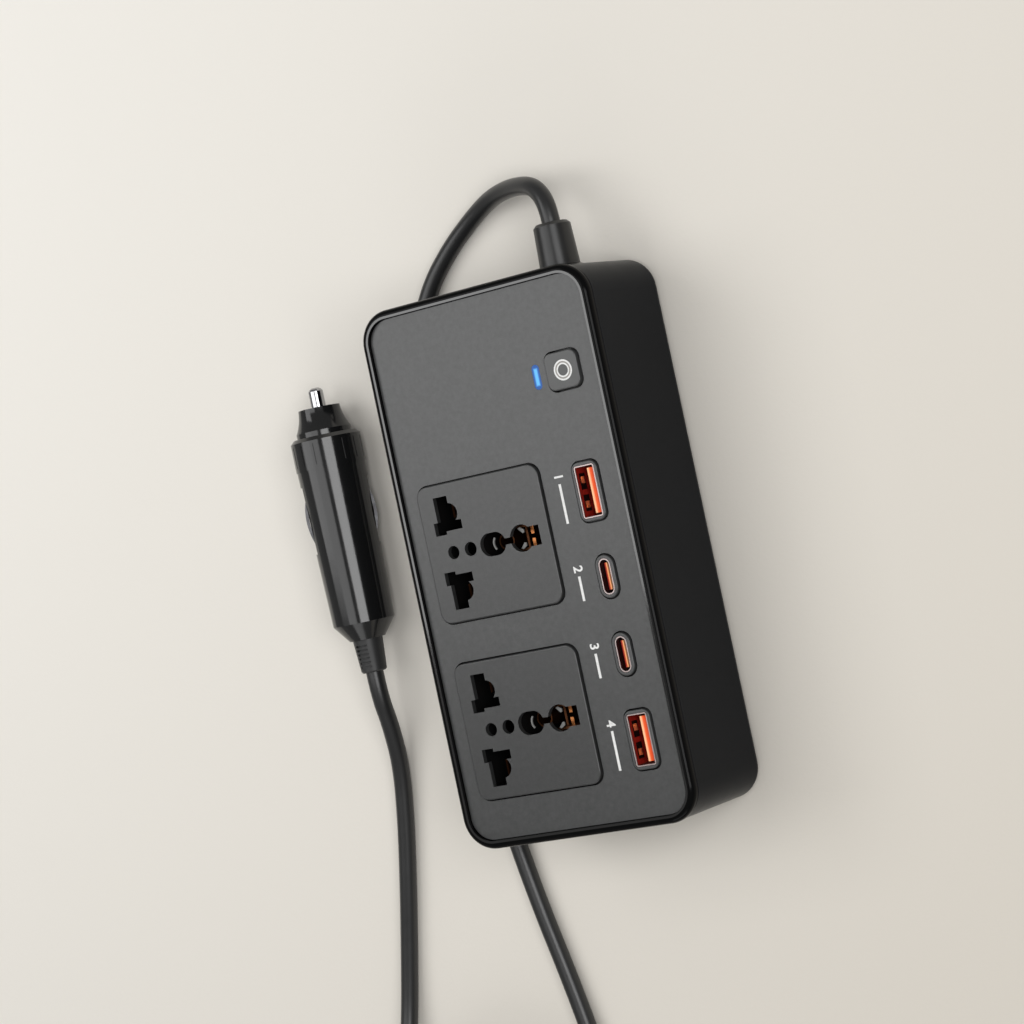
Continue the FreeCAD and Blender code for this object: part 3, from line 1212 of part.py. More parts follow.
def make_tip_contact():
    """The sprung centre contact, with the flange that keeps it in the cap."""
    radius = TIP_DIAMETER / 2
    flange_end = PLUG_RING_FROM + TIP_FLANGE_THICKNESS
    return plug_turned([
        (0, 0),
        (0, radius - 0.9),
        (0.35, radius - 0.35),
        (0.9, radius),
        (PLUG_RING_FROM, radius),
        (PLUG_RING_FROM, TIP_FLANGE_DIAMETER / 2),
        (flange_end, TIP_FLANGE_DIAMETER / 2),
        (flange_end, 0),
        (0, 0),
    ])


def make_fuse_tube():
    """The glass fuse behind the centre contact."""
    start = PLUG_RING_FROM + TIP_FLANGE_THICKNESS
    return plug_cylinder(start, start + FUSE_TUBE_LENGTH, FUSE_TUBE_DIAMETER)


def make_tip_spring():
    """The coil spring between the fuse and the end of the bore."""
    start = PLUG_RING_FROM + TIP_FLANGE_THICKNESS + FUSE_TUBE_LENGTH + SPRING_WIRE / 2
    rise = SPRING_LENGTH - SPRING_WIRE
    radius = (SPRING_DIAMETER - SPRING_WIRE) / 2

    def place(turn):
        angle = 2 * math.pi * turn
        return Vector(
            PLUG_X + radius * math.cos(angle),
            PLUG_TIP_Y - start - rise * turn / SPRING_TURNS,
            PLUG_AXIS_Z + radius * math.sin(angle),
        )

    edges = wound_edges(place, SPRING_TURNS)
    print("least gap in the tip spring", round(least_gap(edges, SPRING_WIRE), 2))
    return tube(edges, SPRING_WIRE)


def make_side_contact(side):
    """A bowed leaf that stands a little out of the barrel's side, with a tab under each end of its window."""
    crest = side_contact_crest()
    tab_top = crest - SIDE_CONTACT_SWELL
    middle = (SIDE_CONTACT_FROM + SIDE_CONTACT_TO) / 2
    bow_from = SIDE_CONTACT_FROM + SIDE_CONTACT_TAB
    bow_to = SIDE_CONTACT_TO - SIDE_CONTACT_TAB
    faces = []
    for drop in (0, SIDE_CONTACT_THICKNESS):
        stations = (SIDE_CONTACT_FROM, bow_from, bow_to, SIDE_CONTACT_TO)
        first, second, third, last = [Vector(tab_top - drop, -along, 0) for along in stations]
        top = Vector(crest - drop, -middle, 0)
        bow = Part.Arc(second, top, third).toShape()
        faces.append((first, last, [Part.makeLine(first, second), bow, Part.makeLine(third, last)]))
    (outer_start, outer_end, outer), (inner_start, inner_end, inner) = faces
    ends = [Part.makeLine(outer_end, inner_end), Part.makeLine(inner_start, outer_start)]
    wire = Part.Wire(Part.__sortEdges__(outer + inner + ends))
    leaf = Part.Face(wire).extrude(Vector(0, 0, SIDE_CONTACT_WIDTH))
    leaf.translate(Vector(0, 0, -SIDE_CONTACT_WIDTH / 2))
    turn = FreeCAD.Rotation(Vector(1, 0, 0), side_contact_way(side))
    leaf.Placement = FreeCAD.Placement(plug_point(0), turn) * leaf.Placement
    return leaf


def make_plug_boot():
    """The tapered boot where the cord enters the plug, slotted above and below so that it bends."""
    end = PLUG_END_AT + BOOT_LENGTH
    body = plug_turned([
        (PLUG_END_AT, 0),
        (PLUG_END_AT, BOOT_BASE_DIAMETER / 2),
        (end - BOOT_EDGE, BOOT_END_DIAMETER / 2),
        (end, BOOT_END_DIAMETER / 2 - BOOT_EDGE),
        (end, 0),
        (PLUG_END_AT, 0),
    ])
    slots = []
    for index in range(BOOT_SLOT_COUNT):
        along = PLUG_END_AT + BOOT_LENGTH / 2 + (index - (BOOT_SLOT_COUNT - 1) / 2) * BOOT_SLOT_PITCH
        y_to = PLUG_TIP_Y - along + BOOT_SLOT_LENGTH / 2
        for side in (1, -1):
            near = PLUG_AXIS_Z + side * (BOOT_END_DIAMETER / 2 - BOOT_SLOT_DEPTH)
            far = PLUG_AXIS_Z + side * BOOT_BASE_DIAMETER
            slots.append(span_box(
                PLUG_X - BOOT_SLOT_SPAN / 2, PLUG_X + BOOT_SLOT_SPAN / 2,
                y_to - BOOT_SLOT_LENGTH, y_to, min(near, far), max(near, far),
            ))
    return body.cut(Part.makeCompound(slots))


def coil_place(turn):
    """The coil's centre line: in on the lower layer, up a layer, and out again on the upper one."""
    half = COIL_TURNS / 2
    climb = 0.25
    past = turn - half
    if abs(past) >= climb:
        radius = COIL_RADIUS - COIL_PITCH * (half - abs(past))
    else:
        edge_radius = COIL_RADIUS - COIL_PITCH * (half - climb)
        radius = edge_radius - COIL_PITCH * (climb / 2 - past ** 2 / (2 * climb))
    share = min(max((past + climb) / (2 * climb), 0), 1)
    height = COIL_LAY + COIL_PITCH * (1 - math.cos(math.pi * share)) / 2
    angle = -2 * math.pi * turn
    return Vector(COIL_X + radius * math.cos(angle), COIL_Y + radius * math.sin(angle), height)


def make_coil():
    """The wound cord's edges with a straight diameter at each end, those ends, and the runs' next points."""
    start = coil_place(0)
    end = coil_place(COIL_TURNS)
    start_way = coil_place(0.0001).sub(start).normalize()
    end_way = end.sub(coil_place(COIL_TURNS - 0.0001)).normalize()
    before = start - start_way * CORD_DIAMETER
    after = end + end_way * CORD_DIAMETER
    edges = [Part.makeLine(before, start)]
    edges += wound_edges(coil_place, COIL_TURNS)
    edges.append(Part.makeLine(end, after))
    return edges, [before - start_way * COIL_APPROACH, before], [after, after + end_way * COIL_APPROACH]


def make_coil_tie():
    """A flat band around all the turns, on the coil's far side."""
    centre = Vector(COIL_X, COIL_Y, COIL_LAY)
    inner_radius = coil_place(1.25).distanceToPoint(centre)
    outer_radius = coil_place(0.25).distanceToPoint(centre)
    reach = CORD_DIAMETER / 2 + TIE_CLEARANCE
    low = COIL_Y - outer_radius - reach
    high = COIL_Y - inner_radius + reach
    bottom = COIL_LAY - reach
    top = COIL_LAY + COIL_PITCH + reach
    half = TIE_WIDTH / 2
    band = span_box(
        COIL_X - half, COIL_X + half, low - TIE_THICKNESS, high + TIE_THICKNESS,
        bottom - TIE_THICKNESS, top + TIE_THICKNESS,
    )
    inside = span_box(COIL_X - half, COIL_X + half, low, high, bottom, top)
    band = band.makeFillet(reach + TIE_THICKNESS - 0.01, crosswise_edges(band))
    return band.cut(inside.makeFillet(reach - 0.01, crosswise_edges(inside)))


def make_input_leads():
    """The two wires from the cord's inner end down to the power board."""
    wires = []
    start_y = END_WALL - WALL - RELIEF_INNER_THICKNESS
    end_y = FAR_END - LEAD_FROM_END
    for side in (-1, 1):
        x = RELIEF_X + side * LEAD_SPACING / 2
        points = [
            Vector(x, start_y, RELIEF_Z),
            Vector(x, start_y - LEAD_STRAIGHT, RELIEF_Z),
            Vector(x, end_y + LEAD_BEND, RELIEF_Z - 2 * LEAD_BEND),
            Vector(x, end_y, RELIEF_Z - 4 * LEAD_BEND),
            Vector(x, end_y, MAIN_BOARD_TOP),
        ]
        wires.append(tube(routed_edges(points)[0], LEAD_DIAMETER))
    return Part.makeCompound(wires)


def least_gap(edges, diameter):
    """The least gap between a wound tube and itself, measured on points along its centre line."""
    points = []
    along = []
    total = 0.0
    for edge in edges:
        count = max(round(2 * edge.Length / diameter), 2)
        samples = edge.discretize(count)
        for start, end in zip(samples, samples[1:]):
            points.append(start)
            along.append(total)
            total += start.distanceToPoint(end)
    least = total
    for first in range(len(points)):
        for second in range(first + 1, len(points)):
            if along[second] - along[first] > 3 * diameter:
                least = min(least, points[first].distanceToPoint(points[second]))
    return least - diameter


def make_cord():
    """The cord's three stretches: from the strain relief to the coil, the coil, and on to the plug."""
    coil_edges, into_coil, out_of_coil = make_coil()
    relief_end = Vector(RELIEF_X, RELIEF_END, RELIEF_Z)
    exit_points = [relief_end] + [Vector(*point) for point in EXIT_ROUTE] + into_coil
    boot_end = plug_point(PLUG_END_AT + BOOT_LENGTH)
    plug_points = out_of_coil + [Vector(*point) for point in PLUG_ROUTE] + [boot_end]
    exit_edges, exit_radii = routed_edges(exit_points)
    plug_edges, plug_radii = routed_edges(plug_points)
    stretches = {"cord_exit_run": exit_edges, "cord_coil": coil_edges, "cord_plug_run": plug_edges}
    solids = {}
    total = 0.0
    section = math.pi * CORD_DIAMETER ** 2 / 4
    for name, edges in stretches.items():
        solids[name] = tube(edges, CORD_DIAMETER)
        length = path_length(edges)
        total += length
        share = solids[name].Volume / section / length
        print(name, "length", round(length, 1), "volume share", round(share, 4))
    print("cord length", round(total, 1))
    print("exit radii", [round(radius, 1) for radius in exit_radii])
    print("plug radii", [round(radius, 1) for radius in plug_radii])
    print("least gap in the coil", round(least_gap(coil_edges, CORD_DIAMETER), 2))
    return solids


def make_parts():
    """Every node of the model by name."""
    parts = {
        "lower_case": make_lower_case(),
        "top_cover": make_top_cover(),
        "face_panel": make_face_panel(),
        "rubber_feet": make_rubber_feet(),
        "case_screws": make_case_screws(),
        "board_screws": make_board_screws(),
        "usb_board": make_usb_board(),
        "main_board": make_main_board(),
        "power_button": make_power_button(),
        "tact_switch": make_tact_switch(),
        "switch_plunger": make_switch_plunger(),
        "heat_sink": make_heat_sink(),
        "power_transistors": make_transistors(),
        "board_fuse": make_fuse(),
        "fan_frame": make_fan_frame(),
        "fan_rotor": make_fan_rotor(),
        "strain_relief": make_strain_relief(),
        "input_leads": make_input_leads(),
        "plug_barrel": make_plug_barrel(),
        "plug_nose_cap": make_plug_cap(),
        "plug_tip_contact": make_tip_contact(),
        "plug_fuse": make_fuse_tube(),
        "plug_tip_spring": make_tip_spring(),
        "plug_side_contact_right": make_side_contact(1),
        "plug_side_contact_left": make_side_contact(-1),
        "plug_boot": make_plug_boot(),
        "cord_tie": make_coil_tie(),
    }
    for number, y in SOCKETS:
        parts[f"socket_plate_{number}"] = make_socket_plate(y)
        parts[f"socket_block_{number}"] = make_socket_block(y)
        parts[f"live_contact_{number}"] = make_live_contact(y, 1)
        parts[f"neutral_contact_{number}"] = make_live_contact(y, -1)
        parts[f"earth_contact_{number}"] = make_earth_contact(y)
    for number, y in enumerate(USB_A_Y, 1):
        parts[f"usb_a_trim_{number}"] = make_trim(
            USB_A_TRIM_WIDTH, USB_A_TRIM_LENGTH, USB_A_TRIM_RADIUS,
            USB_A_SHELL_WIDTH, USB_A_SHELL_LENGTH, USB_A_SHELL_RADIUS, y,
        )
        parts[f"usb_a_shell_{number}"] = make_shell(
            USB_A_SHELL_WIDTH, USB_A_SHELL_LENGTH, USB_A_SHELL_RADIUS, y
        )
        parts[f"usb_a_tongue_{number}"] = make_tongue(
            USB_A_SHELL_WIDTH, USB_A_SHELL_LENGTH, USB_A_SHELL_RADIUS,
            USB_A_TONGUE_THICKNESS, USB_A_TONGUE_LENGTH, USB_A_TONGUE_OFFSET, USB_A_TONGUE_SINK, y,
        )
    for number, y in enumerate(USB_C_Y, 1):
        parts[f"usb_c_trim_{number}"] = make_trim(
            USB_C_TRIM_WIDTH, USB_C_TRIM_LENGTH, USB_C_TRIM_WIDTH / 2,
            USB_C_SHELL_WIDTH, USB_C_SHELL_LENGTH, USB_C_SHELL_WIDTH, y,
        )
        parts[f"usb_c_shell_{number}"] = make_shell(
            USB_C_SHELL_WIDTH, USB_C_SHELL_LENGTH, USB_C_SHELL_WIDTH, y
        )
        parts[f"usb_c_tongue_{number}"] = make_tongue(
            USB_C_SHELL_WIDTH, USB_C_SHELL_LENGTH, USB_C_SHELL_WIDTH,
            USB_C_TONGUE_THICKNESS, USB_C_TONGUE_LENGTH, 0, USB_C_TONGUE_SINK, y,
        )
    parts["status_lamp"], parts["light_guide"] = make_indicator()
    parts["transformer_core"], parts["transformer_winding"] = make_transformer()
    parts["bulk_capacitor"] = make_capacitors([BULK_CAPACITOR_FROM_END], BULK_CAPACITOR_DIAMETER)
    parts["input_capacitors"] = make_capacitors(INPUT_CAPACITORS_FROM_END, INPUT_CAPACITOR_DIAMETER)
    parts["filter_inductor"] = make_inductor()
    parts.update(make_cord())
    return parts


os.makedirs("parts", exist_ok=True)
for name, shape in make_parts().items():
    if not shape.isValid() or not shape.Solids:
        print("not a sound solid:", name)
    shape.exportStep(f"parts/{name}.step")
    print(name, "solids", len(shape.Solids), "volume", round(shape.Volume, 1))
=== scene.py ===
"""The looks of a car power inverter: its cord, finishes, prints and studio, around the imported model.

Metres, in the model's own frame: the origin lies under the middle of the case, +X is the side of the
USB ports, +Y the end that the cord leaves, and +Z is up.
"""
import json
import math

import bmesh
import bpy
from mathutils import Matrix, Vector


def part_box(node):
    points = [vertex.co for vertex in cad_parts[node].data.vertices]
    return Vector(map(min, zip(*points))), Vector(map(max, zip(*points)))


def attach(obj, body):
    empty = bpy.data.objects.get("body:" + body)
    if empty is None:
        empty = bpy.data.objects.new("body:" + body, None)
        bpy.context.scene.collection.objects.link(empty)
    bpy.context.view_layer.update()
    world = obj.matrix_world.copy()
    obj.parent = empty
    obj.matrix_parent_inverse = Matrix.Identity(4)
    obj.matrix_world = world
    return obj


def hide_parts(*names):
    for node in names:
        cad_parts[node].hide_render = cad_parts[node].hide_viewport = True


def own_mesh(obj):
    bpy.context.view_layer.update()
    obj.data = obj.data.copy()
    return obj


# Camera: its place, the directions of the picture's right and up, and the lens
CAMERA_PLACE = Vector((0.399213, 0.007206, 0.660894))
CAMERA_RIGHT = Vector((0.8227, -0.2076, -0.5292))
CAMERA_UP = Vector((0.1788, 0.9782, -0.1057))
CAMERA_LENS = 104.32
CAMERA_SENSOR = 36.0
CAMERA_NEAR = 0.01

# Floor: its colour runs from pale to deep along the slope, over this reach to either side of the
# origin, as painted shade towards the near right
FLOOR_SIZE = 6.0
FLOOR_SHADE_SLOPE = (0.72, -0.69, 0.0)
FLOOR_REACH = 0.25
FLOOR_PALE = (0.840, 0.815, 0.765)
FLOOR_SHADED = (0.576, 0.535, 0.470)

# The far floor's own glow, which only the eye and reflections meet, grows between these distances
GLOW_FROM = 0.40
GLOW_TO = 1.80
GLOW_STRENGTH = 0.42
GLOW_COLOR = (1.0, 0.97, 0.91)

# Lamps: place, the point that each faces, width, length and power
LAMPS = {
    "top_softbox": ((-0.14, 0.10, 0.80), (-0.14, 0.10, 0.0), 0.42, 0.44, 1.3),
    "left_softbox": ((-0.65, 0.285, 0.80), (-0.65, 0.285, 0.0), 0.60, 0.65, 3.3),
    "right_softbox": ((0.530, 0.0, 0.745), (-0.07, 0.0, 0.01), 0.52, 0.46, 4.4),
    "near_softbox": ((-0.10, -0.90, 0.45), (-0.05, 0.0, 0.0), 0.6, 0.4, 1.1),
}
WORLD_COLOR = (1.0, 0.99, 0.97)
WORLD_STRENGTH = 0.30

# Cord: its thickness, the height of its middle on the floor, and the plug's axis
CORD_DIAMETER = 0.0048
CORD_LAY = 0.00245
PLUG_AXIS_X = -0.0720
PLUG_AXIS_Z = 0.0096

# Coil: its lower layer lies on the tie, and it climbs a layer within this many turns of its middle.
# The cord comes up to it and leaves it straight, and a nudge along it, in turns, gives the direction.
COIL_CENTRE_X = -0.0610
COIL_CENTRE_Y = -0.1570
COIL_RADIUS = 0.0302
COIL_PITCH = 0.0054
COIL_TURNS = 3.5
COIL_LAY = 0.00335
COIL_POINTS_PER_TURN = 24
COIL_APPROACH = 0.015
COIL_CLIMB = 0.25
COIL_NUDGE = 0.0001

# The cord's points after the strain relief, as far as the coil
EXIT_ROUTE = (
    (0.0172, 0.0847, 0.0190),
    (0.0161, 0.0889, 0.0184),
    (0.0131, 0.0923, 0.0168),
    (0.0082, 0.0939, 0.0141),
    (0.0012, 0.0946, 0.0103),
    (-0.0068, 0.0939, 0.0064),
    (-0.0156, 0.0904, 0.0034),
    (-0.0250, 0.0843, CORD_LAY),
    (-0.0340, 0.0755, CORD_LAY),
    (-0.0415, 0.0615, CORD_LAY),
    (-0.0460, 0.0400, CORD_LAY),
    (-0.0486, 0.0080, CORD_LAY),
    (-0.0482, -0.0260, CORD_LAY),
    (-0.0452, -0.0580, CORD_LAY),
    (-0.0405, -0.0880, CORD_LAY),
    (-0.0348, -0.1140, CORD_LAY),
)

# The cord's points from the coil to the plug's boot
PLUG_ROUTE = (
    (-0.0896, -0.1190, 0.0036),
    (-0.0858, -0.1010, CORD_LAY),
    (-0.0813, -0.0820, CORD_LAY),
    (-0.0774, -0.0640, CORD_LAY),
    (-0.0744, -0.0480, 0.0032),
    (-0.0727, -0.0360, 0.0066),
    (PLUG_AXIS_X, -0.0282, PLUG_AXIS_Z),
)

# The spring behind the plug's fuse
SPRING_WIRE = 0.0008
SPRING_TURNS = 6
SPRING_POINTS_PER_TURN = 24

# Moulded slots: colour, roughness, size and depth of the grain, and specular level
MOULDED = {
    "case_plastic": ((0.0030, 0.0040, 0.0060), 0.30, 0.0006, 0.000006, 0.075),
    "cover_plastic": ((0.0025, 0.0026, 0.0027), 0.12, 0.0006, 0.000002, 0.07),
    "trim_plastic": ((0.046, 0.0472, 0.0472), 0.34, 0.0003, 0.00001, 0.5),
    "button_plastic": ((0.060, 0.0612, 0.0612), 0.36, 0.0003, 0.00001, 0.5),
    "block_plastic": ((0.004, 0.004, 0.004), 0.6, 0.0005, 0.00001, 0.2),
    "foot_rubber": ((0.012, 0.012, 0.012), 0.8, 0.0004, 0.00004, 0.3),
    "switch_plastic": ((0.02, 0.02, 0.02), 0.5, 0.0004, 0.00001, 0.5),
    "fan_plastic": ((0.012, 0.012, 0.012), 0.45, 0.0006, 0.00001, 0.5),
    "fuse_plastic": ((0.04, 0.12, 0.6), 0.25, 0.0006, 0.000005, 0.5),
    "tie_plastic": ((0.012, 0.012, 0.012), 0.7, 0.0004, 0.00004, 0.3),
    "plug_plastic": ((0.0075, 0.0077, 0.008), 0.13, 0.0008, 0.000002, 0.5),
    "boot_rubber": ((0.022, 0.0223, 0.0226), 0.45, 0.0004, 0.00001, 0.40),
    "cord_jacket": ((0.014, 0.0142, 0.0146), 0.34, 0.0009, 0.00001, 0.5),
    "board_laminate": ((0.01, 0.10, 0.04), 0.4, 0.002, 0.00001, 0.5),
    "lamp_resin": ((0.7, 0.75, 0.8), 0.3, 0.001, 0.000005, 0.5),
}

# Metal slots: colour and roughness
METALS = {
    "port_steel": ((0.36, 0.30, 0.29), 0.34),
    "screw_steel": ((0.42, 0.42, 0.43), 0.35),
    "spring_steel": ((0.5, 0.5, 0.5), 0.3),
    "sink_aluminium": ((0.7, 0.71, 0.72), 0.4),
    "plug_metal": ((0.40, 0.40, 0.41), 0.10),
    # contact_copper is painted far darker than copper, as painted shade on contacts deep in the sockets
    "contact_copper": ((0.10, 0.040, 0.018), 0.5),
    "winding_copper": ((0.62, 0.26, 0.12), 0.35),
}

# Noise lies mostly between these two values, and metal's is drawn out along Y
NOISE_LOW = 0.3
NOISE_HIGH = 0.7
BRUSHED = (1, 6, 1)

# The colours across a tongue, between these distances from the ports' middle, with a painted highlight
# in the pale band near its left edge: first the two ends'
TONGUE_FROM = -0.0001
TONGUE_TO = 0.0022
TONGUE_HIGHLIGHT_STOPS = (
    (0.0, (0.30, 0.012, 0.006)),
    (1.0, (0.62, 0.045, 0.012)),
    (0.12, (0.95, 0.34, 0.12)),
    (0.28, (1.0, 0.60, 0.34)),
    (0.52, (0.86, 0.11, 0.022)),
)

# The light guide: its bright core, how far that fades, and the colours of core and edge
GUIDE_CORE_HALF_WIDTH = 0.00048
GUIDE_CORE_HALF_LENGTH = 0.0021
GUIDE_FADE = 0.0005
GUIDE_CORE = (0.14, 0.52, 1.0)
GUIDE_EDGE = (0.015, 0.070, 0.27)

# Prints on the face: the icon's four radii, the numbers and their bars
ICON_RADII = (0.00142, 0.00180, 0.00218, 0.00260)
ICON_OFFSET = 0.0004
ICON_STEPS = 64
PRINT_RISE = 0.00002
PRINT_SINK = 0.00002
PRINT_X = 0.0146
DIGIT_SIZE = 0.0036
DIGIT_BOLD = 0.00007
DIGIT_SPACE = 0.0036
BAR_WIDTH = 0.0007
LONG_PRINT = 0.0136
SHORT_PRINT = 0.0098

# Polished line on the rim's level top: its distances from the case's sides, and the case's corners
LINE_OUTSIDE = 0.0016
LINE_INSIDE = 0.0022
CORNER_RADIUS = 0.0085
CORNER_STEPS = 12

# Inside the USB-A ports: offsets are from a shell's middle, and depths from its top or the tongue's
PORT_MIDDLE = 0.0227
SHELL_WALL = 0.0003
PLATE = 0.00004
# Depths of the painted orange reflection, a red sheet on the shell's left wall
REFLECTION_FROM = 0.0004
REFLECTION_TO = 0.0060
WINDOW_OFFSET = 0.0027
WINDOW_LENGTH = 0.0041
WINDOW_FROM = 0.0013
WINDOW_TO = 0.0040
FINGER_OFFSET = 0.0031
FINGER_FROM = 0.0016
FINGER_LENGTH = 0.0019
FINGER_BEND = 0.6
FINGER_REACH = 0.0005
FINGER_END_REACH = 0.0003
FINGER_THICKNESS = 0.00012
FINGER_WIDTH = 0.0017
TONGUE_LEFT = 0.00028
CONTACT_COUNT = 4
CONTACT_WIDTH = 0.0010
CONTACT_PITCH = 0.0024
CONTACT_FROM = 0.0008
CONTACT_TO = 0.0070

# Shutter edges, tabs and earth lips in the sockets' openings, from a plate's centre and its top
EDGE_CENTRE = 0.0031
EDGE_INNER = 0.0020
EDGE_OUTER = 0.0024
EDGE_SINK = 0.0012
EDGE_FROM_ANGLE = 138.0
EDGE_TO_ANGLE = 222.0
EDGE_STEPS = 20
TAB_SINK = 0.0020
TAB_THICKNESS = 0.0004
LIP_SINK = 0.0048
LIP_THICKNESS = 0.0003
LIP_FROM = 0.0102
LIP_TO = 0.0111
LIP_REACH = 0.0006
LEAF_INSIDE = 0.0026
TAB_OUTLINE = (
    (0.0082, 0.0025),
    (0.0088, 0.0028),
    (0.0099, 0.0021),
    (0.0099, 0.0013),
    (0.0094, 0.0012),
)

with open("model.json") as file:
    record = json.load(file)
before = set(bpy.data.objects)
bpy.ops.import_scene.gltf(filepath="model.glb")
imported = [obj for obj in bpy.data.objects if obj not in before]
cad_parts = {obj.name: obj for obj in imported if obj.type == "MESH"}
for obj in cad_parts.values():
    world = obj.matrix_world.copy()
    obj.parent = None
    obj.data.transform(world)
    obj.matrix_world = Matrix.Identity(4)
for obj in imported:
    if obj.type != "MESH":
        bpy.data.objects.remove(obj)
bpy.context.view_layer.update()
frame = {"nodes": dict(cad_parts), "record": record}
NODES = frame["nodes"]


def add_object(name, data):
    """A new object in the scene."""
    piece = bpy.data.objects.new(name, data)
    bpy.context.scene.collection.objects.link(piece)
    return piece


def placed(place, right, up, back):
    """The matrix of an object at a place, with its own X, Y and Z along three directions."""
    return Matrix.Translation(place) @ Matrix((right, up, back)).transposed().to_4x4()


def make_camera():
    """The camera at the photograph's place and angle."""
    data = bpy.data.cameras.new("camera")
    data.lens = CAMERA_LENS
    data.sensor_width = CAMERA_SENSOR
    data.clip_start = CAMERA_NEAR
    camera = add_object("camera", data)
    right = CAMERA_RIGHT.normalized()
    up = (CAMERA_UP - right * CAMERA_UP.dot(right)).normalized()
    camera.matrix_world = placed(CAMERA_PLACE, right, up, right.cross(up))
    bpy.context.scene.camera = camera


def coil_place(turn):
    """The coil's centre line: in on the lower layer, up a layer, and out again on the upper one."""
    half = COIL_TURNS / 2
    past = turn - half
    if abs(past) >= COIL_CLIMB:
        radius = COIL_RADIUS - COIL_PITCH * (half - abs(past))
    else:
        edge_radius = COIL_RADIUS - COIL_PITCH * (half - COIL_CLIMB)
        radius = edge_radius - COIL_PITCH * (COIL_CLIMB / 2 - past ** 2 / (2 * COIL_CLIMB))
    share = min(max((past + COIL_CLIMB) / (2 * COIL_CLIMB), 0), 1)
    height = COIL_LAY + COIL_PITCH * (1 - math.cos(math.pi * share)) / 2
    angle = -2 * math.pi * turn
    return Vector((
        COIL_CENTRE_X + radius * math.cos(angle),
        COIL_CENTRE_Y + radius * math.sin(angle),
        height,
    ))


def cord_exit():
    """The point where the cord leaves the strain relief."""
    low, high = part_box("strain_relief")
    return ((low.x + high.x) / 2, high.y, (low.z + high.z) / 2)


def cord_points():
    """Every control point of the cord, from the strain relief through the coil to the plug."""
    steps = round(COIL_TURNS * COIL_POINTS_PER_TURN)
    turns = [coil_place(COIL_TURNS * index / steps) for index in range(steps + 1)]
    way_in = (coil_place(COIL_NUDGE) - turns[0]).normalized()
    way_out = (turns[-1] - coil_place(COIL_TURNS - COIL_NUDGE)).normalized()
    before = turns[0] - way_in * (CORD_DIAMETER + COIL_APPROACH)
    after = turns[-1] + way_out * (CORD_DIAMETER + COIL_APPROACH)
    end = (PLUG_AXIS_X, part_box("plug_boot")[0].y, PLUG_AXIS_Z)
    return [cord_exit(), *EXIT_ROUTE, before, *turns, after, *PLUG_ROUTE, end]


def spline_curve(name, points, diameter):
    """A round bar along one smooth open spline: a unit profile, scaled by each point's radius."""
    curve = bpy.data.curves.new(name, "CURVE")
    curve.dimensions = "3D"
    curve.bevel_depth = 1.0
    curve.bevel_resolution = 7
    curve.use_fill_caps = True
    curve.resolution_u = 8
    spline = curve.splines.new("NURBS")
    spline.points.add(len(points) - 1)
    for place, point in zip(points, spline.points):
        point.co = (*place, 1.0)
        point.radius = diameter / 2
    spline.order_u = 3
    spline.use_endpoint_u = True
    spline.use_smooth = True
    return add_object(name, curve)


def mesh_of_curve(curve):
    """The mesh of a curve or text object, which is then removed."""
    bpy.context.view_layer.update()
    mesh = bpy.data.meshes.new_from_object(curve)
    bpy.data.objects.remove(curve)
    return mesh


def make_cord():
    """The one cord, which takes the place of its three solids."""
    cord = spline_curve("cord", cord_points(), CORD_DIAMETER)
    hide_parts("cord_exit_run", "cord_coil", "cord_plug_run")
    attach(cord, "inverter")
    return cord


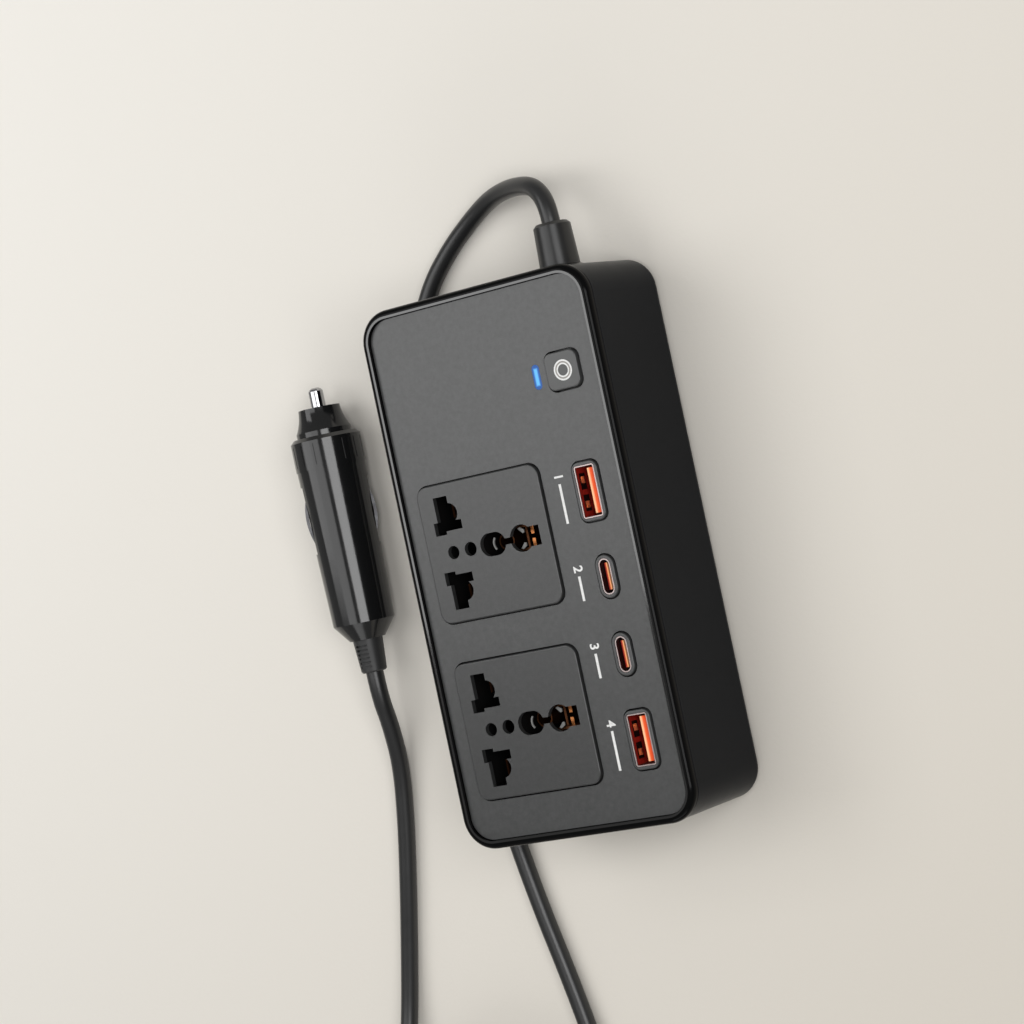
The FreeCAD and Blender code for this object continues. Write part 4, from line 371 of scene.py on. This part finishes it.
class Finish:
    """A principled material that is built up node by node."""

    def __init__(self, name, color, roughness, specular=0.5, metallic=0.0):
        self.material = bpy.data.materials.new(name)
        self.material.use_nodes = True
        self.nodes = self.material.node_tree.nodes
        self.shader = self.nodes["Principled BSDF"]
        self.set("Base Color", (*color, 1.0))
        self.set("Roughness", roughness)
        self.set("Specular IOR Level", specular)
        self.set("Metallic", metallic)
        self.color = color
        self.roughness = roughness
        self.place = self.nodes.new("ShaderNodeTexCoord").outputs["Object"]

    def set(self, socket, value):
        """Sets a socket of the shader."""
        self.shader.inputs[socket].default_value = value

    def link(self, source, target):
        """Joins an output to an input."""
        self.material.node_tree.links.new(source, target)

    def calculate(self, operation, *sources):
        """The outcome of an operation on one or two outputs."""
        node = self.nodes.new("ShaderNodeMath")
        node.operation = operation
        for source, target in zip(sources, node.inputs):
            self.link(source, target)
        return node.outputs["Value"]

    def calculate_vector(self, operation, source, other=None):
        """The outputs of an operation on a vector, and on a fixed one where it takes two."""
        node = self.nodes.new("ShaderNodeVectorMath")
        node.operation = operation
        self.link(source, node.inputs[0])
        if other is not None:
            node.inputs[1].default_value = other
        return node.outputs

    def parts(self, source):
        """The X, Y and Z of a vector, by name."""
        node = self.nodes.new("ShaderNodeSeparateXYZ")
        self.link(source, node.inputs["Vector"])
        return node.outputs

    def mixed(self, share, first, second):
        """A colour that runs from the first to the second with the share."""
        node = self.nodes.new("ShaderNodeMix")
        node.data_type = "RGBA"
        node.inputs["A"].default_value = (*first, 1.0)
        node.inputs["B"].default_value = (*second, 1.0)
        self.link(share, node.inputs["Factor"])
        return node.outputs["Result"]

    def noise(self, size, detail=3.0, stretch=(1, 1, 1), roughness=0.5):
        """Noise whose features are about size metres across, stretched along the axes."""
        mapping = self.nodes.new("ShaderNodeMapping")
        mapping.inputs["Scale"].default_value = [1 / factor for factor in stretch]
        self.link(self.place, mapping.inputs["Vector"])
        texture = self.nodes.new("ShaderNodeTexNoise")
        texture.inputs["Scale"].default_value = 1 / size
        texture.inputs["Detail"].default_value = detail
        texture.inputs["Roughness"].default_value = roughness
        self.link(mapping.outputs["Vector"], texture.inputs["Vector"])
        return texture.outputs["Fac"]

    def ranged(self, source, low, high, low_in, high_in):
        """Maps a value from the range low_in to high_in to the range low to high."""
        node = self.nodes.new("ShaderNodeMapRange")
        node.inputs["From Min"].default_value = low_in
        node.inputs["From Max"].default_value = high_in
        node.inputs["To Min"].default_value = low
        node.inputs["To Max"].default_value = high
        self.link(source, node.inputs["Value"])
        return node.outputs["Result"]

    def vary_color(self, noise, low, high):
        """Makes the base colour run from low to high times its own value."""
        node = self.nodes.new("ShaderNodeVectorMath")
        node.operation = "SCALE"
        node.inputs[0].default_value = self.color
        self.link(self.ranged(noise, low, high, NOISE_LOW, NOISE_HIGH), node.inputs["Scale"])
        self.link(node.outputs["Vector"], self.shader.inputs["Base Color"])

    def vary_roughness(self, noise, spread):
        """Makes the roughness vary about its value."""
        low = self.roughness - spread
        high = self.roughness + spread
        varied = self.ranged(noise, low, high, NOISE_LOW, NOISE_HIGH)
        self.link(varied, self.shader.inputs["Roughness"])

    def bump(self, noise, depth):
        """Adds relief of the given depth, in metres."""
        node = self.nodes.new("ShaderNodeBump")
        node.inputs["Strength"].default_value = 1.0
        node.inputs["Distance"].default_value = depth
        self.link(noise, node.inputs["Height"])
        self.link(node.outputs["Normal"], self.shader.inputs["Normal"])


def moulded(name, color, roughness, grain, depth, specular):
    """Moulded plastic with a fine grain, slight colour drift and uneven gloss."""
    finish = Finish(name, color, roughness, specular)
    finish.vary_color(finish.noise(size=0.02), low=0.93, high=1.07)
    finish.vary_roughness(finish.noise(size=0.004, detail=4.0), spread=0.02)
    finish.bump(finish.noise(size=grain, detail=2.0), depth)
    return finish


def brushed(name, color, roughness):
    """Metal with fine lines along Y."""
    finish = Finish(name, color, roughness, metallic=1.0)
    lines = finish.noise(size=0.0004, detail=4.0, stretch=BRUSHED)
    finish.vary_color(lines, low=0.9, high=1.08)
    finish.vary_roughness(lines, spread=0.06)
    finish.bump(lines, depth=0.000004)
    return finish


def make_face_finish(name, color):
    """The face's grey plastic, with a fine cloudy grain."""
    finish = Finish(name, color, roughness=0.29, specular=0.53)
    clouds = finish.noise(size=0.0014, detail=5.0, roughness=0.7)
    finish.vary_color(clouds, low=0.80, high=1.20)
    finish.vary_roughness(finish.noise(size=0.0008, detail=2.0), spread=0.01)
    finish.bump(finish.noise(size=0.0003, detail=2.0), depth=0.00002)
    return finish


def make_port_finish():
    """The orange insulator in the ports, with a painted highlight: paler along a tongue's left edge."""
    finish = Finish("port_insulator", (0.80, 0.10, 0.025), roughness=0.4, specular=0.15)
    ramp = finish.nodes.new("ShaderNodeValToRGB")
    stops = ramp.color_ramp.elements
    # A ramp starts with its two ends
    ends = tuple(stops)
    for index, (position, color) in enumerate(TONGUE_HIGHLIGHT_STOPS):
        stop = ends[index] if index < len(ends) else stops.new(position)
        stop.position = position
        stop.color = (*color, 1.0)
    across = finish.parts(finish.place)["X"]
    share = finish.ranged(across, 0.0, 1.0, PORT_MIDDLE + TONGUE_FROM, PORT_MIDDLE + TONGUE_TO)
    finish.link(share, ramp.inputs["Fac"])
    finish.link(ramp.outputs["Color"], finish.shader.inputs["Base Color"])
    finish.bump(finish.noise(size=0.0005), depth=0.00001)
    return finish


def make_guide_finish():
    """The lit light guide, with a pale core in its deep blue."""
    finish = Finish("guide_resin", (0.01, 0.04, 0.12), roughness=0.3, specular=0.2)
    low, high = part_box("light_guide")
    from_middle = finish.calculate_vector("SUBTRACT", finish.place, (low + high) / 2)
    offset = finish.parts(from_middle["Vector"])
    shares = []
    for axis, half in (("X", GUIDE_CORE_HALF_WIDTH), ("Y", GUIDE_CORE_HALF_LENGTH)):
        away = finish.calculate("ABSOLUTE", offset[axis])
        shares.append(finish.ranged(away, 0.0, 1.0, half - GUIDE_FADE / 2, half + GUIDE_FADE / 2))
    light = finish.mixed(finish.calculate("MAXIMUM", *shares), GUIDE_CORE, GUIDE_EDGE)
    finish.link(light, finish.shader.inputs["Emission Color"])
    finish.set("Emission Strength", 1.0)
    finish.vary_color(finish.noise(size=0.001), low=0.9, high=1.1)
    return finish


def make_finishes():
    """The materials of every slot in the record, by slot name."""
    finishes = {slot: moulded(slot, *facts) for slot, facts in MOULDED.items()}
    finishes.update({slot: brushed(slot, *facts) for slot, facts in METALS.items()})
    ferrite = Finish("ferrite", (0.05, 0.05, 0.055), roughness=0.7)
    ferrite.vary_color(ferrite.noise(size=0.0008), low=0.7, high=1.3)
    ferrite.bump(ferrite.noise(size=0.0005), depth=0.00004)
    finishes["ferrite"] = ferrite
    sleeve = Finish("capacitor_sleeve", (0.015, 0.02, 0.06), roughness=0.3)
    sleeve.vary_color(sleeve.noise(size=0.003), low=0.8, high=1.2)
    finishes["capacitor_sleeve"] = sleeve
    glass = Finish("fuse_glass", (0.9, 0.92, 0.92), roughness=0.05)
    glass.set("Transmission Weight", 0.9)
    glass.bump(glass.noise(size=0.004), depth=0.00001)
    finishes["fuse_glass"] = glass
    finishes["panel_plastic"] = make_face_finish("panel_plastic", (0.041, 0.0421, 0.0421))
    finishes["port_insulator"] = make_port_finish()
    finishes["guide_resin"] = make_guide_finish()
    return finishes


def dress_nodes(finishes):
    """Gives every node the material of its slot in the record."""
    for entry in frame["record"]["subparts"]:
        node = NODES[entry["node"]]
        material = finishes[entry["material_slot"]].material
        if not node.material_slots:
            node.data.materials.append(material)
        for slot in node.material_slots:
            slot.material = material


def dress_apart(finish, *names):
    """Gives some nodes of a slot a finish of their own."""
    for name in names:
        for slot in NODES[name].material_slots:
            slot.material = finish.material


def dress_exceptions():
    """The darker socket plates, the smoother strain relief and the plug's duller side contacts."""
    plate = make_face_finish("plate_plastic", (0.031, 0.0318, 0.0318))
    dress_apart(plate, "socket_plate_1", "socket_plate_2")
    rubber = moulded(
        "relief_rubber", (0.006, 0.0062, 0.0064),
        roughness=0.33, grain=0.0004, depth=0.000004, specular=0.5,
    )
    dress_apart(rubber, "strain_relief")
    nickel = Finish("contact_nickel", (0.07, 0.07, 0.073), roughness=0.42, metallic=1.0)
    nickel.vary_color(nickel.noise(size=0.0005, stretch=BRUSHED), low=0.85, high=1.1)
    nickel.vary_roughness(nickel.noise(size=0.002), spread=0.06)
    dress_apart(nickel, "plug_side_contact_right", "plug_side_contact_left")


def add_piece(name, mesh, finish, body):
    """A new piece of the object, in its place, with a finish and the body it rides on."""
    piece = add_object(name, mesh)
    mesh.materials.append(finish.material)
    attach(piece, body)
    return piece


def bodies_mesh(name, bodies, ring=False):
    """A mesh of closed bodies, each with its rows of corners joined in turn, or round in a ring."""
    form = bmesh.new()
    for body in bodies:
        rows = [[form.verts.new(corner) for corner in row] for row in body]
        if ring:
            rows.append(rows[0])
        else:
            form.faces.new(rows[0])
            form.faces.new(rows[-1][::-1])
        for row, following in zip(rows, rows[1:]):
            for index in range(len(row)):
                after = (index + 1) % len(row)
                form.faces.new((row[index], following[index], following[after], row[after]))
    bmesh.ops.recalc_face_normals(form, faces=form.faces)
    mesh = bpy.data.meshes.new(name)
    form.to_mesh(mesh)
    form.free()
    return mesh


def rectangle(x_from, x_to, y_from, y_to):
    """The corners of a level rectangle."""
    return [(x_from, y_from), (x_to, y_from), (x_to, y_to), (x_from, y_to)]


def prism(outline, low, high):
    """The two rows of corners of an upright prism, between a low and a high level."""
    return [[(x, y, level) for x, y in outline] for level in (low, high)]


def arc(centre, inner, outer, low, high, angles):
    """The rows of corners of a flat bar that bends round a centre, one row at each angle in degrees."""
    rows = []
    for degrees in angles:
        angle = math.radians(degrees)
        rows.append([
            (centre[0] + radius * math.cos(angle), centre[1] + radius * math.sin(angle), level)
            for radius, level in ((inner, low), (outer, low), (outer, high), (inner, high))
        ])
    return rows


def make_tip_spring(finish):
    """The spring behind the plug's fuse."""
    low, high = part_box("plug_tip_spring")
    middle = (low + high) / 2
    radius = (high.x - low.x - SPRING_WIRE) / 2
    start = high.y - SPRING_WIRE / 2
    rise = high.y - low.y - SPRING_WIRE
    steps = SPRING_TURNS * SPRING_POINTS_PER_TURN
    points = []
    for index in range(steps + 1):
        angle = 2 * math.pi * index / SPRING_POINTS_PER_TURN
        points.append((
            middle.x + radius * math.cos(angle),
            start - rise * index / steps,
            middle.z + radius * math.sin(angle),
        ))
    mesh = mesh_of_curve(spline_curve("tip_spring_wire", points, SPRING_WIRE))
    spring = add_piece("tip_spring", mesh, finish, "inverter")
    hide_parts("plug_tip_spring")
    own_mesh(spring)
    return spring


def rounded_outline(low, high, inset):
    """The points of the case's outline, moved inwards."""
    radius = CORNER_RADIUS - inset
    points = []
    for quarter, (side_x, side_y) in enumerate(((1, 1), (-1, 1), (-1, -1), (1, -1))):
        centre_x = (high.x if side_x > 0 else low.x) - side_x * CORNER_RADIUS
        centre_y = (high.y if side_y > 0 else low.y) - side_y * CORNER_RADIUS
        for step in range(CORNER_STEPS + 1):
            angle = math.radians(90 * (quarter + step / CORNER_STEPS))
            points.append((centre_x + radius * math.cos(angle), centre_y + radius * math.sin(angle)))
    return points


def make_rim_line():
    """The polished line along the cover's rim."""
    low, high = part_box("top_cover")
    bottom = high.z - PRINT_SINK
    top = high.z + PRINT_RISE
    inner_outline = rounded_outline(low, high, LINE_INSIDE)
    outer_outline = rounded_outline(low, high, LINE_OUTSIDE)
    rows = [
        [(*inner, bottom), (*outer, bottom), (*outer, top), (*inner, top)]
        for inner, outer in zip(inner_outline, outer_outline)
    ]
    polish = Finish("rim_polish", (0.0025, 0.0026, 0.0027), roughness=0.09, specular=0.95)
    polish.vary_roughness(polish.noise(size=0.004), spread=0.02)
    polish.bump(polish.noise(size=0.0006, detail=2.0), depth=0.000001)
    line = add_piece("rim_line", bodies_mesh("rim_line", [rows], ring=True), polish, "inverter")


def make_icon(ink, tint):
    """The ring mark on the button: two pale rings with a tinted band between them."""
    low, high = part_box("power_button")
    centre = ((low.x + high.x) / 2 + ICON_OFFSET, (low.y + high.y) / 2)
    angles = [360 * index / ICON_STEPS for index in range(ICON_STEPS)]
    for name, ring, finish in (("icon_outer", 2, ink), ("icon_band", 1, tint), ("icon_inner", 0, ink)):
        inner, outer = ICON_RADII[ring:ring + 2]
        rows = arc(centre, inner, outer, high.z - PRINT_SINK, high.z + PRINT_RISE, angles)
        add_piece(name, bodies_mesh(name, [rows], ring=True), finish, "button")


def make_port_print(name, digit, centre_y, length, ink):
    """A port's plain number and a bar, read from the far end towards the near one."""
    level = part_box("face_panel")[1].z
    far = centre_y + length / 2
    text = bpy.data.curves.new(name + "_digit", "FONT")
    text.body = digit
    text.size = DIGIT_SIZE
    text.extrude = PRINT_RISE
    text.offset = DIGIT_BOLD
    text.resolution_u = 6
    text.align_x = "CENTER"
    text.align_y = "CENTER"
    mesh = mesh_of_curve(add_object(name + "_digit", text))
    place = Matrix.Translation((PRINT_X, far - DIGIT_SPACE / 2, level))
    mesh.transform(place @ Matrix.Rotation(-math.pi / 2, 4, "Z"))
    add_piece(name + "_digit", mesh, ink, "inverter")
    half = BAR_WIDTH / 2
    outline = rectangle(PRINT_X - half, PRINT_X + half, far - length, far - DIGIT_SPACE)
    bar = prism(outline, level - PRINT_SINK, level + PRINT_RISE)
    add_piece(name + "_bar", bodies_mesh(name + "_bar", [bar]), ink, "inverter")


def make_prints():
    """Every print on the face."""
    ink = Finish("print_ink", (0.74, 0.74, 0.73), roughness=0.55)
    ink.vary_color(ink.noise(size=0.0008), low=0.88, high=1.05)
    ink.bump(ink.noise(size=0.0004), depth=0.000004)
    tint = Finish("print_tint", (0.27, 0.255, 0.235), roughness=0.55)
    tint.vary_color(tint.noise(size=0.0005), low=0.9, high=1.1)
    tint.bump(tint.noise(size=0.0004), depth=0.000004)
    make_icon(ink, tint)
    ports = ("usb_a_shell_1", "usb_c_shell_1", "usb_c_shell_2", "usb_a_shell_2")
    for number, port in enumerate(ports, 1):
        low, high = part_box(port)
        length = LONG_PRINT if port.startswith("usb_a") else SHORT_PRINT
        make_port_print(f"port_{number}", str(number), (low.y + high.y) / 2, length, ink)


def make_usb_a_inside(number, reflected_red, window_shade, painted_glint, gold):
    """The painted orange reflection and the windows' painted shade on a USB-A shell's left wall, its
    fingers with a painted orange reflection, and its tongue's contacts.
    """
    low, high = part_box(f"usb_a_shell_{number}")
    middle = (low.y + high.y) / 2
    wall = low.x + SHELL_WALL
    end = (high.y - low.y) / 2 - SHELL_WALL - PLATE
    # A red sheet on the shell's left wall: a painted reflection of the orange insulator
    outline = rectangle(wall, wall + PLATE, middle - end, middle + end)
    mesh = bodies_mesh("painted_reflection", [prism(outline, high.z - REFLECTION_TO, high.z - REFLECTION_FROM)])
    add_piece(f"usb_a_painted_reflection_{number}", mesh, reflected_red, "inverter")

    # Near black sheets in the windows: painted shade for the dark behind them
    windows = []
    for y in (middle - WINDOW_OFFSET, middle + WINDOW_OFFSET):
        outline = rectangle(wall, wall + 2 * PLATE, y - WINDOW_LENGTH / 2, y + WINDOW_LENGTH / 2)
        windows.append(prism(outline, high.z - WINDOW_TO, high.z - WINDOW_FROM))
    add_piece(f"usb_a_windows_{number}", bodies_mesh("windows", windows), window_shade, "inverter")

    top = high.z - FINGER_FROM
    bend = top - FINGER_BEND * FINGER_LENGTH
    bottom = top - FINGER_LENGTH
    profile = (
        (wall, top),
        (wall + FINGER_REACH, bend),
        (wall + FINGER_END_REACH, bottom),
        (wall + FINGER_END_REACH - FINGER_THICKNESS, bottom),
        (wall + FINGER_REACH - FINGER_THICKNESS, bend),
        (wall, top - FINGER_THICKNESS),
    )
    # Steel fingers whose salmon tint is a painted reflection of the orange insulator
    fingers = [
        [[(x, y + side * FINGER_WIDTH / 2, z) for x, z in profile] for side in (-1, 1)]
        for y in (middle - FINGER_OFFSET, middle + FINGER_OFFSET)
    ]
    mesh = bodies_mesh("fingers", fingers)
    add_piece(f"usb_a_fingers_{number}", mesh, painted_glint, "inverter")

    left = PORT_MIDDLE + TONGUE_LEFT
    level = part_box(f"usb_a_tongue_{number}")[1].z
    contacts = []
    for index in range(CONTACT_COUNT):
        y = middle + CONTACT_PITCH * (index - (CONTACT_COUNT - 1) / 2)
        outline = rectangle(left - PLATE, left + PLATE, y - CONTACT_WIDTH / 2, y + CONTACT_WIDTH / 2)
        contacts.append(prism(outline, level - CONTACT_TO, level - CONTACT_FROM))
    mesh = bodies_mesh("contacts", contacts)
    add_piece(f"usb_a_contacts_{number}", mesh, gold, "inverter")


def make_port_details():
    """What a look into the USB-A ports shows."""
    # Red for the painted reflection of the orange insulator
    reflected_red = Finish("painted_reflection_red", (0.24, 0.012, 0.008), roughness=0.4, specular=0.2)
    reflected_red.vary_color(reflected_red.noise(size=0.001), low=0.75, high=1.2)
    # Near black for the windows' painted shade
    window_shade = Finish("window_painted_shade", (0.006, 0.002, 0.002), roughness=0.6, specular=0.1)
    window_shade.vary_color(window_shade.noise(size=0.001), low=0.8, high=1.2)
    # Steel tinted salmon: the tint is a painted reflection of the orange insulator
    painted_glint = Finish("finger_steel_painted_glint", (0.95, 0.50, 0.38), roughness=0.3, metallic=1.0)
    painted_glint.vary_color(painted_glint.noise(size=0.0006), low=0.85, high=1.1)
    gold = Finish("tongue_gold", (0.85, 0.58, 0.22), roughness=0.25, metallic=1.0)
    gold.vary_color(gold.noise(size=0.0006), low=0.9, high=1.1)
    for number in (1, 2):
        make_usb_a_inside(number, reflected_red, window_shade, painted_glint, gold)


def make_socket_details():
    """What a socket's earth openings show: the shutter's pale edge and tabs, and the earth lips."""
    grey = Finish("shutter_plastic", (0.15, 0.15, 0.146), roughness=0.45)
    grey.vary_color(grey.noise(size=0.001), low=0.9, high=1.1)
    grey.bump(grey.noise(size=0.0004), depth=0.00001)
    copper = Finish("lip_copper", (0.52, 0.20, 0.07), roughness=0.35, metallic=1.0)
    copper.vary_color(copper.noise(size=0.0005), low=0.8, high=1.1)
    edge_span = EDGE_TO_ANGLE - EDGE_FROM_ANGLE
    angles = [EDGE_FROM_ANGLE + edge_span * index / EDGE_STEPS for index in range(EDGE_STEPS + 1)]
    for number in (1, 2):
        low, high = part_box(f"socket_plate_{number}")
        x = (low.x + high.x) / 2
        y = (low.y + high.y) / 2
        top = high.z - EDGE_SINK
        edge = arc((x + EDGE_CENTRE, y), EDGE_INNER, EDGE_OUTER, top - TAB_THICKNESS, top, angles)
        add_piece(f"shutter_edge_{number}", bodies_mesh("shutter_edge", [edge]), grey, "inverter")
        tabs = []
        lips = []
        for side in (1, -1):
            outline = [(x + tab_x, y + side * tab_y) for tab_x, tab_y in TAB_OUTLINE]
            top = high.z - TAB_SINK
            tabs.append(prism(outline, top - TAB_THICKNESS, top))
            outline = rectangle(x + LIP_FROM, x + LIP_TO, y + side * LIP_REACH, y + side * LEAF_INSIDE)
            top = high.z - LIP_SINK
            lips.append(prism(outline, top - LIP_THICKNESS, top))
        add_piece(f"shutter_tabs_{number}", bodies_mesh("shutter_tabs", tabs), grey, "inverter")
        mesh = bodies_mesh("earth_lips", lips)
        add_piece(f"earth_lips_{number}", mesh, copper, "inverter")


def add_far_glow(finish):
    """Keeps the far floor pale to the eye and in reflections, without light on the object."""
    away = finish.calculate_vector("LENGTH", finish.place)["Value"]
    share = finish.ranged(away, 0.0, GLOW_STRENGTH, GLOW_FROM, GLOW_TO)
    ray = finish.nodes.new("ShaderNodeLightPath").outputs
    seen = finish.calculate("MAXIMUM", ray["Is Camera Ray"], ray["Is Glossy Ray"])
    seen = finish.calculate("MAXIMUM", seen, ray["Is Transmission Ray"])
    glow = finish.calculate("MULTIPLY", share, seen)
    finish.link(glow, finish.shader.inputs["Emission Strength"])
    finish.set("Emission Color", (*GLOW_COLOR, 1.0))


def make_floor():
    """A pale floor, painted a little warmer and darker towards its near right as painted shade."""
    bpy.ops.mesh.primitive_plane_add(size=FLOOR_SIZE, location=(0, 0, 0))
    floor = bpy.context.object
    floor.name = "floor"
    finish = Finish("floor_paper", FLOOR_PALE, roughness=0.9, specular=0.1)
    # The colour deepens along the slope as painted shade
    along = finish.calculate_vector("DOT_PRODUCT", finish.place, FLOOR_SHADE_SLOPE)["Value"]
    share = finish.ranged(along, 0.0, 1.0, -FLOOR_REACH, FLOOR_REACH)
    color = finish.mixed(share, FLOOR_PALE, FLOOR_SHADED)
    finish.link(color, finish.shader.inputs["Base Color"])
    finish.bump(finish.noise(size=0.0012, detail=4.0), depth=0.00004)
    add_far_glow(finish)
    floor.data.materials.append(finish.material)


def add_softbox(name, place, target, width, length, power):
    """A rectangular lamp that faces a point, with its length along Y."""
    data = bpy.data.lights.new(name, "AREA")
    data.shape = "RECTANGLE"
    data.size = width
    data.size_y = length
    data.energy = power
    back = (Vector(place) - Vector(target)).normalized()
    across = Vector((0, 1, 0)).cross(back).normalized()
    add_object(name, data).matrix_world = placed(place, across, back.cross(across), back)


def make_studio():
    """Soft lamps above, far left, beside the camera and near, and a plain world."""
    for name, facts in LAMPS.items():
        add_softbox(name, *facts)
    world = bpy.data.worlds.new("world")
    bpy.context.scene.world = world
    world.use_nodes = True
    background = world.node_tree.nodes["Background"]
    background.inputs["Color"].default_value = (*WORLD_COLOR, 1.0)
    background.inputs["Strength"].default_value = WORLD_STRENGTH
    bpy.context.scene.view_settings.view_transform = "Standard"


make_camera()
cord = make_cord()
finishes = make_finishes()
dress_nodes(finishes)
dress_exceptions()
cord.data.materials.append(finishes["cord_jacket"].material)
tip_spring = make_tip_spring(finishes["spring_steel"])
make_rim_line()
make_prints()
make_port_details()
make_socket_details()
make_floor()
make_studio()

bpy.context.view_layer.update()
